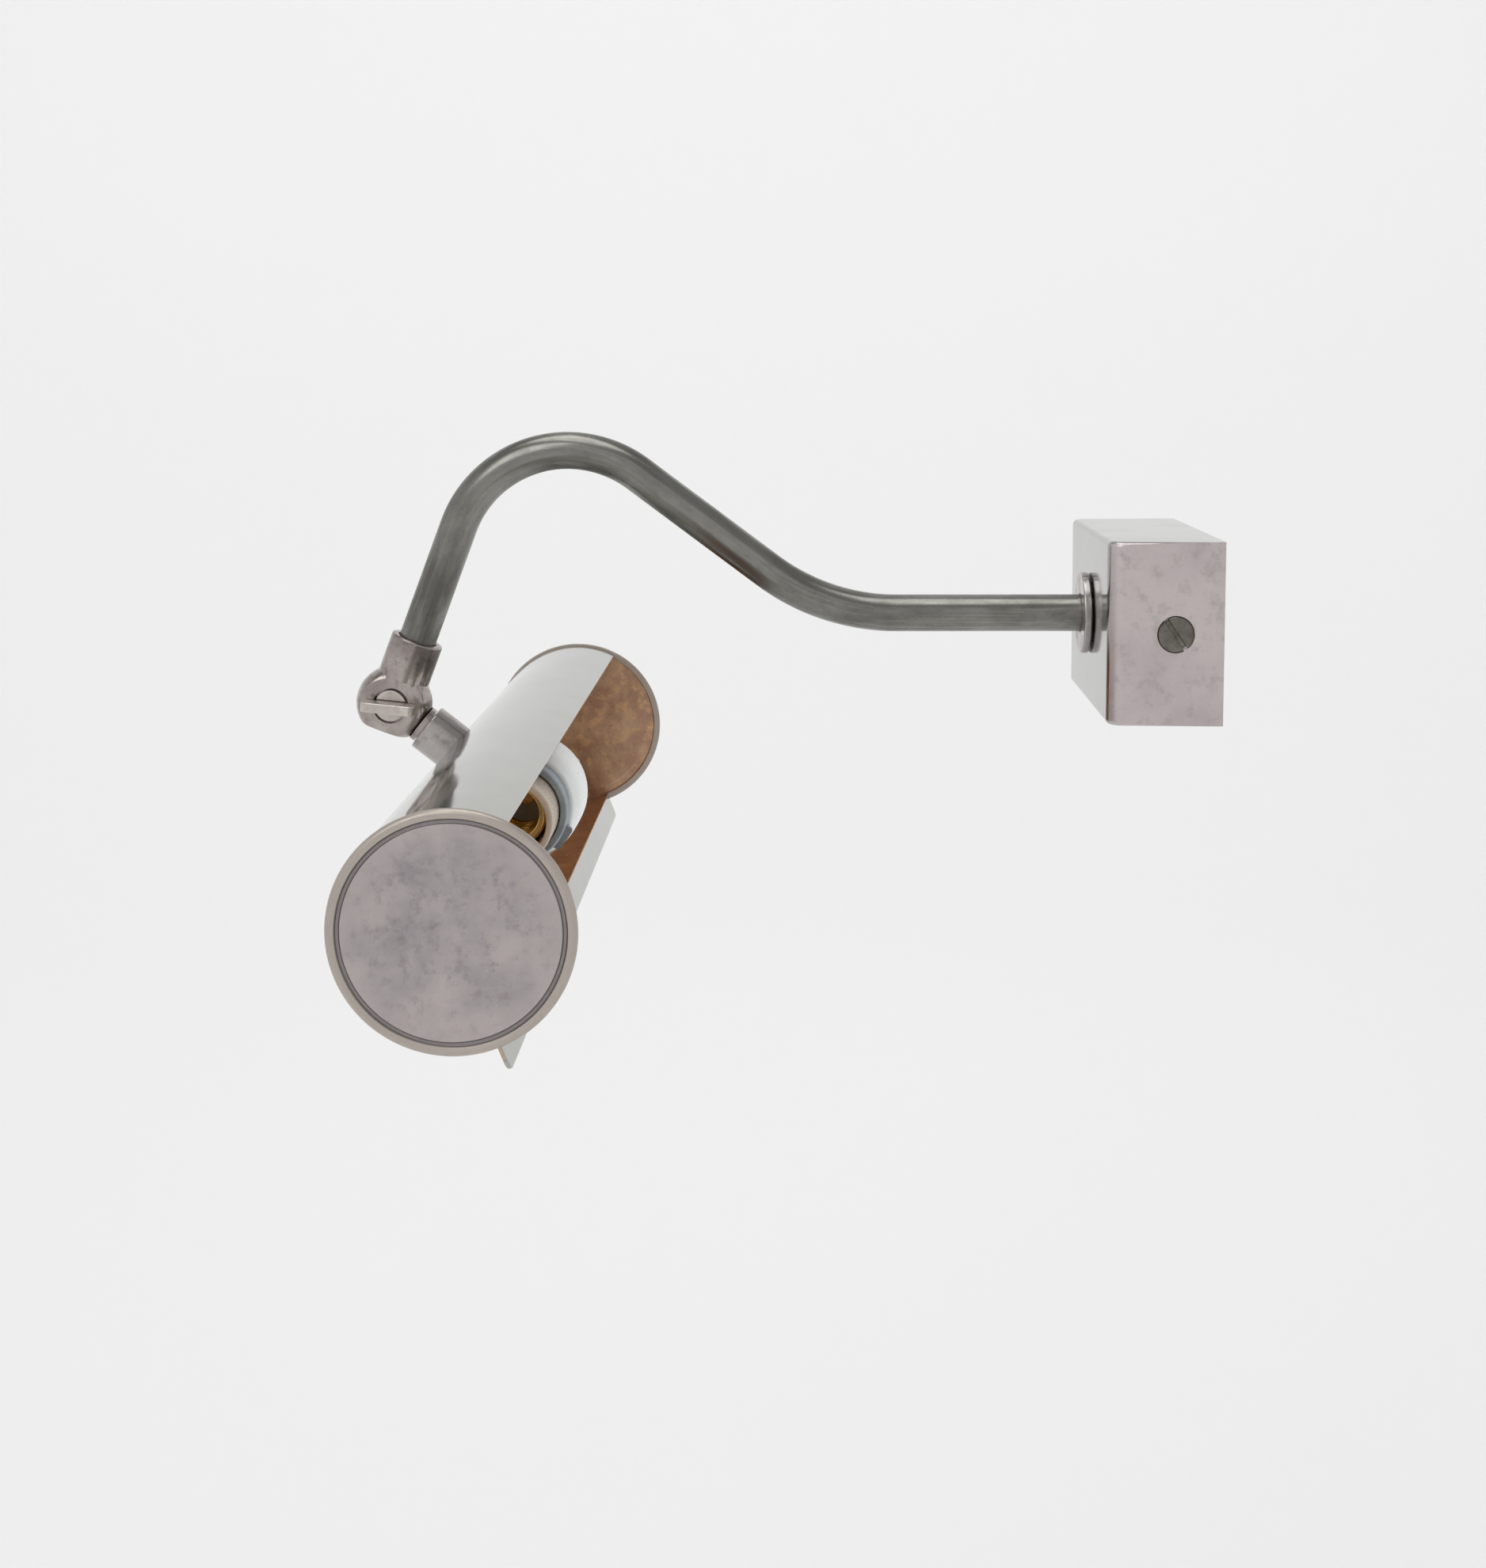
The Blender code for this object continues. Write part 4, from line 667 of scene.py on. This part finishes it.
def build_arm_collar():
    low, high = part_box("arm_collar")
    outer = (high.z - low.z) / 2
    profile = [(ARM_RADIUS + GAP, -high.y), (outer, -high.y), (outer, -low.y),
               (ARM_RADIUS + GAP, -low.y)]
    bm = lathe(profile, Matrix.Translation(ARM_AXIS) @ OUT_OF_WALL, FINE, SOFT_EDGE)
    finish_piece(add_piece("arm_collar_disc", bm), "arm_collar", [COLLAR_METAL])


# ---------------------------------------------------------------- knuckle

def ball_half(matrix, radius, low, recess=0.0):
    """Ball on local Z from low to a domed face, with a screw hole and maybe a recess."""
    shoulder = BALL_FACE - BALL_DOME
    rim = arc((0, 0), radius, math.asin(low / radius), math.asin(shoulder / radius),
              math.radians(4))
    bore = THUMB_SHANK + GAP
    start = Vector(rim[-1])
    corner = Vector((start.x - BALL_DOME * shoulder / start.x, BALL_FACE))
    end = Vector((max(recess, bore) + BALL_DOME_LAND, BALL_FACE))
    dome = []
    for index in range(1, BALL_DOME_STEPS + 1):
        share = index / BALL_DOME_STEPS
        dome.append(tuple(start * (1 - share) ** 2 + corner * 2 * share * (1 - share)
                          + end * share ** 2))
    face = [(bore, BALL_FACE)]
    if recess:
        face = [(recess, BALL_FACE), (recess, THUMB_RECESS_FLOOR), (bore, THUMB_RECESS_FLOOR)]
    return lathe([(bore, low), *rim, *dome, *face], matrix, FINE, 0)


def other_half_space(matrix, far, other_ball):
    """Room for the other half: all within reach of its ball, past the parting plane."""
    reach = other_ball + GAP
    rim = arc((0, 0), reach, math.asin(-far / reach), math.pi / 2, math.radians(5))
    return lathe([(0, -far), *rim[:-1], (0, reach)], matrix, FINE, 0)


def build_knuckle_upper():
    outer = ARM_RADIUS + GAP + SLEEVE_WALL
    sleeve = [(0, BALL_RADIUS / 2), (outer, BALL_RADIUS / 2), (outer, SLEEVE_TOP), (0, SLEEVE_TOP)]
    upper = add_piece("knuckle_upper_half", lathe(sleeve, ARM_END, FINE, SOFT_EDGE))
    reach = BALL_RADIUS * 1.3
    carve(upper, block((BALL_FACE - GAP, -reach, 0), (reach, reach, BALL_CREASE), ARM_END),
          solver="MANIFOLD")
    carve(upper, ball_half(ARM_END @ TO_X, BALL_RADIUS, GAP / 2, THUMB_RECESS), "UNION",
          "MANIFOLD")
    carve(upper, block((-reach, -reach, -reach), (reach, reach, -BALL_FLAT), ARM_END),
          solver="MANIFOLD")
    carve(upper, other_half_space(ARM_END @ TO_MINUS_X, GAP / 2, LOWER_BALL_RADIUS),
          solver="MANIFOLD")
    carve(upper, cylinder(ARM_RADIUS + GAP, SLEEVE_TOP - ARM_SEAT - GAP, SLEEVE_TOP + GAP,
                          ARM_END), solver="MANIFOLD")
    finish_piece(upper, "knuckle_upper", [KNUCKLE_METAL])


def build_knuckle_lower():
    to_shade = (SHADE_AXIS - PIVOT).length
    spigot_end = -to_shade + SHADE_RADIUS - SPIGOT_INSIDE
    lower = add_piece("knuckle_lower_half", ball_half(HEAD @ TO_MINUS_X, LOWER_BALL_RADIUS, -GAP))
    carve(lower, cylinder(NECK_RADIUS, -BALL_RADIUS - GAP, -LOWER_BALL_RADIUS / 2, HEAD), "UNION",
          "MANIFOLD")
    carve(lower, cylinder(SPIGOT_RADIUS, spigot_end, -BALL_CREASE, HEAD), "UNION", "MANIFOLD")
    carve(lower, other_half_space(HEAD @ TO_X, GAP / 2, BALL_RADIUS), solver="MANIFOLD")
    carve(lower, cylinder(SPIGOT_BORE, spigot_end - GAP, -LOWER_BALL_RADIUS / 2, HEAD),
          solver="MANIFOLD")
    finish_piece(lower, "knuckle_lower", [KNUCKLE_METAL])


def build_thumb_screw():
    seat = THUMB_RECESS_FLOOR + GAP
    profile = [(0, -THUMB_END), (THUMB_SHANK, -THUMB_END), (THUMB_SHANK, seat),
               (THUMB_HEAD, seat), (THUMB_HEAD, THUMB_TOP), (0, THUMB_TOP)]
    screw = add_piece("thumb_screw_slotted", lathe(profile, SCREW @ TO_X, MEDIUM, EDGE))
    tongue = 0.0012
    slot = PADDLE_HALF_THICKNESS + GAP
    carve(screw, block((THUMB_TOP - tongue - GAP, -2 * THUMB_HEAD, -slot),
                       (THUMB_TOP + GAP, 2 * THUMB_HEAD, slot), SCREW))
    finish_piece(screw, "thumb_screw", [THUMB_METAL])
    low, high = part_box("thumb_paddle")
    half = 0.007
    bar = block((THUMB_TOP + GAP, -half, -PADDLE_HALF_THICKNESS),
                (high.x, half, PADDLE_HALF_THICKNESS))
    bevel(bar, lambda edge: abs(edge.verts[0].co.z - edge.verts[1].co.z) > NEAR
          and edge.verts[0].co.x > THUMB_TOP + 2 * GAP, 0.0012, 8)
    bevel(bar, is_corner, EDGE, 3)
    bar.transform(SCREW)
    paddle = add_piece("thumb_paddle_bar", bar)
    reach = THUMB_HEAD - 0.0008
    carve(paddle, block((THUMB_TOP - tongue, -reach, -PADDLE_HALF_THICKNESS + EDGE / 3),
                        (THUMB_TOP + 2 * GAP, reach, PADDLE_HALF_THICKNESS - EDGE / 3), SCREW),
          "UNION")
    finish_piece(paddle, "thumb_paddle", [THUMB_METAL])


# ---------------------------------------------------------------- shade

def build_shade():
    """Open round wall whose lower edge turns outward as a flat lip."""
    bottom = OPENING_BOTTOM + math.tau
    inner_radius = SHADE_RADIUS - SHADE_WALL
    inner = arc((0, 0), inner_radius, bottom, OPENING_TOP, math.radians(2))
    outer = arc((0, 0), SHADE_RADIUS, OPENING_TOP, bottom - SHADE_WALL / SHADE_RADIUS,
                math.radians(2))
    along = Vector((math.cos(bottom), math.sin(bottom)))
    across = Vector((along.y, -along.x)) * SHADE_WALL
    tip = along * (SHADE_RADIUS + LIP_WIDTH)
    outline = [tuple(tip + across), tuple(tip)] + inner + outer
    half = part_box("shade_tube")[1].x
    bm = bmesh.new()
    face = bm.faces.new([bm.verts.new((-half, y, z)) for y, z in outline])
    pushed = bmesh.ops.extrude_face_region(bm, geom=[face])["geom"]
    bmesh.ops.translate(bm, vec=(2 * half, 0, 0),
                        verts=[v for v in pushed if isinstance(v, bmesh.types.BMVert)])
    bmesh.ops.recalc_face_normals(bm, faces=bm.faces)
    at_tip = tip.length - 1e-5
    bevel(bm, lambda edge: abs(edge.verts[0].co.x - edge.verts[1].co.x) < NEAR
          and all(v.co.yz.length > at_tip for v in edge.verts), LIP_CORNER, 12)
    bevel(bm, lambda edge: is_corner(edge, math.radians(50)), EDGE, 3)
    bm.transform(SHADE)
    shade = add_piece("shade_open_tube", bm)
    hole = cylinder(SPIGOT_RADIUS + GAP, inner_radius / 2, SHADE_RADIUS * 1.1, SHADE)
    carve(shade, hole)
    limit = SHADE_RADIUS - SHADE_WALL / 2

    def inside(face):
        offset = Vector((0, *(face.center - SHADE_AXIS).yz))
        return 1 if offset.length < limit and face.normal.dot(offset) < 0 else 0

    finish_piece(shade, "shade_tube", [SHADE_METAL, INSIDE_BRASS], choose=inside)


def cap_profile():
    """Half section of an end cap: (radius, depth inward from the bead's crest)."""
    outer = CAP_OUTER
    rise, groove = 0.0004, 0.0004
    bead = arc((outer - CAP_BEAD, CAP_BEAD), CAP_BEAD, 0, -math.pi / 2, math.radians(10))
    inner = [(outer - 2 * CAP_BEAD * 0.85, rise * 0.6), (outer - 2 * CAP_BEAD, rise + groove),
             (outer - 2 * CAP_BEAD - CAP_GROOVE_WIDTH, rise + groove),
             (outer - 2 * CAP_BEAD - 0.0009, rise)]
    channel = SHADE_RADIUS - SHADE_WALL - GAP
    floor = CAP_DEPTH - CAP_CHANNEL_DEPTH
    return [(0, CAP_DEPTH), (channel - CAP_CHANNEL_WIDTH, CAP_DEPTH),
            (channel - CAP_CHANNEL_WIDTH, floor), (channel, floor), (channel, CAP_DEPTH),
            (outer, CAP_DEPTH), *bead, *inner, (0, rise)]


def build_caps():
    inside_radius = SHADE_RADIUS - SHADE_WALL / 2
    for node, side, turn in (("end_cap_right", 1, TO_MINUS_X), ("end_cap_left", -1, TO_X)):
        low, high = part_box(node)
        outer_x = high.x if side > 0 else low.x
        matrix = Matrix.Translation((outer_x, 0, 0)) @ SHADE @ turn
        cap = add_piece(f"{node}_disc", lathe(cap_profile(), matrix, FINE, 0.0002))

        def inward(face, side=side):
            offset = Vector((face.center - SHADE_AXIS).yz)
            return 1 if face.normal.x * side < -0.3 and offset.length < inside_radius else 0

        finish_piece(cap, node, [CAP_METAL, INSIDE_BRASS], choose=inward)


def build_shade_collar():
    """Round spacer between the neck and the shade, saddle-cut to the tube."""
    to_shade = (SHADE_AXIS - PIVOT).length
    top = -BALL_RADIUS - 2 * GAP
    low = SHADE_RADIUS - to_shade - COLLAR_REACH
    inner = SPIGOT_RADIUS + GAP
    outer = inner + COLLAR_WALL
    profile = [(inner, low), (outer, low), (outer, top), (inner, top)]
    collar = add_piece("shade_collar_spacer", lathe(profile, HEAD, FINE, SOFT_EDGE))
    carve(collar, cylinder(SHADE_RADIUS + SADDLE_GAP, -2 * outer, 2 * outer, SHADE @ TO_X,
                           4 * FINE))
    finish_piece(collar, "shade_collar", [COLLAR_METAL])


# ---------------------------------------------------------------- lampholder

def build_holder_body():
    rear, floor_rear, floor_front, front = -0.014, -0.0105, -0.0082, 0.0072
    radius, front_radius, cavity = 0.0163, 0.0146, 0.009
    seat, bore = 0.0117, 0.0079
    profile = [(0, floor_rear), (cavity, floor_rear), (cavity, rear), (radius - 0.0004, rear),
               (radius, rear + 0.0012), (radius, rear + 0.005), (radius - 0.0002, 0.0),
               (radius - 0.0006, 0.0042), (front_radius, front), (seat, front), (seat, 0.0035),
               (bore, 0.0035), (bore, floor_front), (0, floor_front)]
    body = add_piece("porcelain_body", lathe(profile, HOLDER @ TO_X, FINE, 0.0007))
    half = 0.0045
    carve(body, block((rear - GAP, -half, 0.0123), (front + GAP, half, radius * 1.2), HOLDER))
    carve(body, block((rear - GAP, -half, cavity / 2), (floor_rear, half, radius * 1.2), HOLDER))
    finish_piece(body, "holder_body", [PORCELAIN])


def build_holder_sleeve():
    low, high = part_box("holder_sleeve")
    profile = [(0.0095, low.x), (0.0114, low.x), (0.0114, high.x), (0.0095, high.x)]
    bm = lathe(profile, HOLDER @ TO_X, FINE, 0.0006)
    finish_piece(add_piece("cream_sleeve_tube", bm), "holder_sleeve", [CREAM])


def build_holder_ring():
    low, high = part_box("holder_ring")
    inner, outer = 0.0117, 0.0137
    profile = [(inner, low.x), (outer, low.x), (outer, high.x), (inner, high.x)]
    clamp = add_piece("clamping_ring", lathe(profile, HOLDER @ TO_X, FINE, SOFT_EDGE))
    for turn in (0, math.pi):
        lug = block((low.x, inner + 0.001, -0.0035), (low.x + 0.0015, outer + 0.0018, 0.0035))
        bevel(lug, lambda edge: abs(edge.verts[0].co.x - edge.verts[1].co.x) > NEAR
              and edge.verts[0].co.y > outer, 0.001, 5)
        lug.transform(HOLDER @ Matrix.Rotation(RING_LUG_ANGLE + turn, 4, "X"))
        carve(clamp, lug, "UNION")
    finish_piece(clamp, "holder_ring", [RING_METAL])


def build_thread_shell():
    """Rolled brass shell: its thread is a real wave that winds along the wall."""
    low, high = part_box("thread_shell")
    radius, wall, depth, pitch = 0.0076, 0.0005, 0.0007, 0.0028
    flare = (high.z - low.z) / 2 - radius
    length = high.x - low.x
    rows = 96
    bm = bmesh.new()
    grid = []
    for inset in (0.0, wall):
        layer = []
        for row in range(rows + 1):
            share = row / rows
            x = low.x + length * share
            plain = max(0.0, 1 - min(share, 1 - share) / 0.06)
            opening = flare * max(0.0, (share - 0.95) / 0.05) if flare > 0 else 0.0
            line = []
            for step in range(MEDIUM):
                angle = math.tau * step / MEDIUM
                wave = (1 - math.cos(math.tau * x / pitch + angle)) / 2 * depth * (1 - plain)
                reach = radius - wave - inset + opening
                line.append(bm.verts.new((x, reach * math.cos(angle), reach * math.sin(angle))))
            layer.append(line)
        grid.append(layer)
    strips = [(layer[row], layer[row + 1]) for layer in grid for row in range(rows)]
    strips += [(grid[0][0], grid[1][0]), (grid[0][-1], grid[1][-1])]
    for one, two in strips:
        for step in range(MEDIUM):
            after = (step + 1) % MEDIUM
            bm.faces.new((one[step], one[after], two[after], two[step]))
    bmesh.ops.recalc_face_normals(bm, faces=bm.faces)
    bm.transform(HOLDER)
    finish_piece(add_piece("thread_shell_rolled", bm), "thread_shell", [GOLD])


# ---------------------------------------------------------------- small pieces

def refine(node, material=None, width=EDGE / 2):
    """Weld a CAD node's facets and round its hard edges; its slot may give the material."""
    cad = frame["nodes"][node]
    bm = bmesh.new()
    bm.from_mesh(cad.data)
    bmesh.ops.remove_doubles(bm, verts=bm.verts, dist=1e-7)
    bmesh.ops.dissolve_limit(bm, angle_limit=math.radians(0.2), verts=bm.verts, edges=bm.edges)
    bevel(bm, lambda edge: is_corner(edge, math.radians(50)), width, 2)
    slot = cad.material_slots[0].material.name
    finish_piece(add_piece(f"{node}_finished", bm), node, [material or BY_SLOT[slot]])


def build_small_pieces():
    replaced = {"box_cover", "arm_tube", "arm_collar", "knuckle_upper", "knuckle_lower",
                "thumb_screw", "thumb_paddle", "shade_tube", "end_cap_right", "end_cap_left",
                "shade_collar", "holder_body", "holder_sleeve", "holder_ring", "thread_shell"}
    for node in sorted(set(frame["nodes"]) - replaced):
        refine(node, SCREW_METAL if node.startswith("cover_screw") else None)


# ---------------------------------------------------------------- stage

def build_stage():
    """Pale floor that curves up into a round wall, well away from the light."""
    floor = cad_low.z - FLOOR_DROP
    curve = WALL_RADIUS - FLOOR_RADIUS
    profile = [(0, floor), (FLOOR_RADIUS, floor)]
    profile += arc((FLOOR_RADIUS, floor + curve), curve, -math.pi / 2, 0, math.radians(6))[1:]
    profile += [(WALL_RADIUS, floor + WALL_HEIGHT)]
    bm = bmesh.new()
    points = [bm.verts.new((radius, 0, height)) for radius, height in profile]
    for one, two in zip(points, points[1:]):
        bm.edges.new((one, two))
    bmesh.ops.spin(bm, geom=list(bm.verts) + list(bm.edges), axis=(0, 0, 1), cent=(0, 0, 0),
                   angle=math.tau, steps=MEDIUM, use_merge=True)
    bmesh.ops.remove_doubles(bm, verts=bm.verts, dist=NEAR)
    stage = add_piece("studio_floor", bm)
    stage.data.shade_smooth()
    paper = Surface("pale_paper")
    paper.colour((0.70, 0.70, 0.70))
    paper.rough(0.9)
    paper.shader.inputs["Emission Color"].default_value = (1, 1, 1, 1)
    paper.shader.inputs["Emission Strength"].default_value = STAGE_GLOW
    stage.data.materials.append(paper.material)


def soft_light(name, location, target, width, height, power, tone=(1, 1, 1)):
    data = bpy.data.lights.new(name, "AREA")
    data.shape = "RECTANGLE"
    data.size, data.size_y = width, height
    data.energy = power
    data.color = tone
    lamp = bpy.data.objects.new(name, data)
    bpy.context.scene.collection.objects.link(lamp)
    lamp.location = location
    lamp.rotation_euler = (Vector(target) - Vector(location)).to_track_quat("-Z", "Y").to_euler()


def build_lights():
    world = bpy.data.worlds.new("studio")
    world.use_nodes = True
    background = world.node_tree.nodes["Background"]
    background.inputs["Color"].default_value = (1.0, 1.0, 1.0, 1.0)
    background.inputs["Strength"].default_value = WORLD_GLOW
    bpy.context.scene.world = world
    aim = (0, SHADE_AXIS.y / 2, 0)
    soft_light("key", (1.3, -0.9, 1.2), aim, 1.0, 1.0, KEY_POWER)
    soft_light("top", (0.1, -0.2, 1.6), aim, 1.4, 1.0, TOP_POWER)
    soft_light("backdrop", (-0.9, -0.1, 1.3), (-WALL_RADIUS, -0.1, 0), 1.2, 0.8, BACKDROP_POWER)


def build_camera():
    data = bpy.data.cameras.new("camera")
    data.sensor_width = CAMERA_SENSOR
    data.sensor_fit = "AUTO"
    data.lens = CAMERA_LENS
    data.shift_x, data.shift_y = CAMERA_SHIFT
    data.clip_start, data.clip_end = 0.01, 20
    camera = bpy.data.objects.new("camera", data)
    bpy.context.scene.collection.objects.link(camera)
    forward = Vector((-math.cos(CAMERA_YAW) * math.cos(CAMERA_PITCH),
                      math.sin(CAMERA_YAW) * math.cos(CAMERA_PITCH), -math.sin(CAMERA_PITCH)))
    camera.location = CAMERA_AT
    camera.rotation_euler = forward.to_track_quat("-Z", "Y").to_euler()
    bpy.context.scene.camera = camera
    bpy.context.scene.view_settings.view_transform = "Standard"


build_camera()
build_cover()
build_arm()
build_arm_collar()
build_knuckle_upper()
build_knuckle_lower()
build_thumb_screw()
build_shade()
build_caps()
build_shade_collar()
build_holder_body()
build_holder_sleeve()
build_holder_ring()
build_thread_shell()
build_small_pieces()
build_stage()
build_lights()
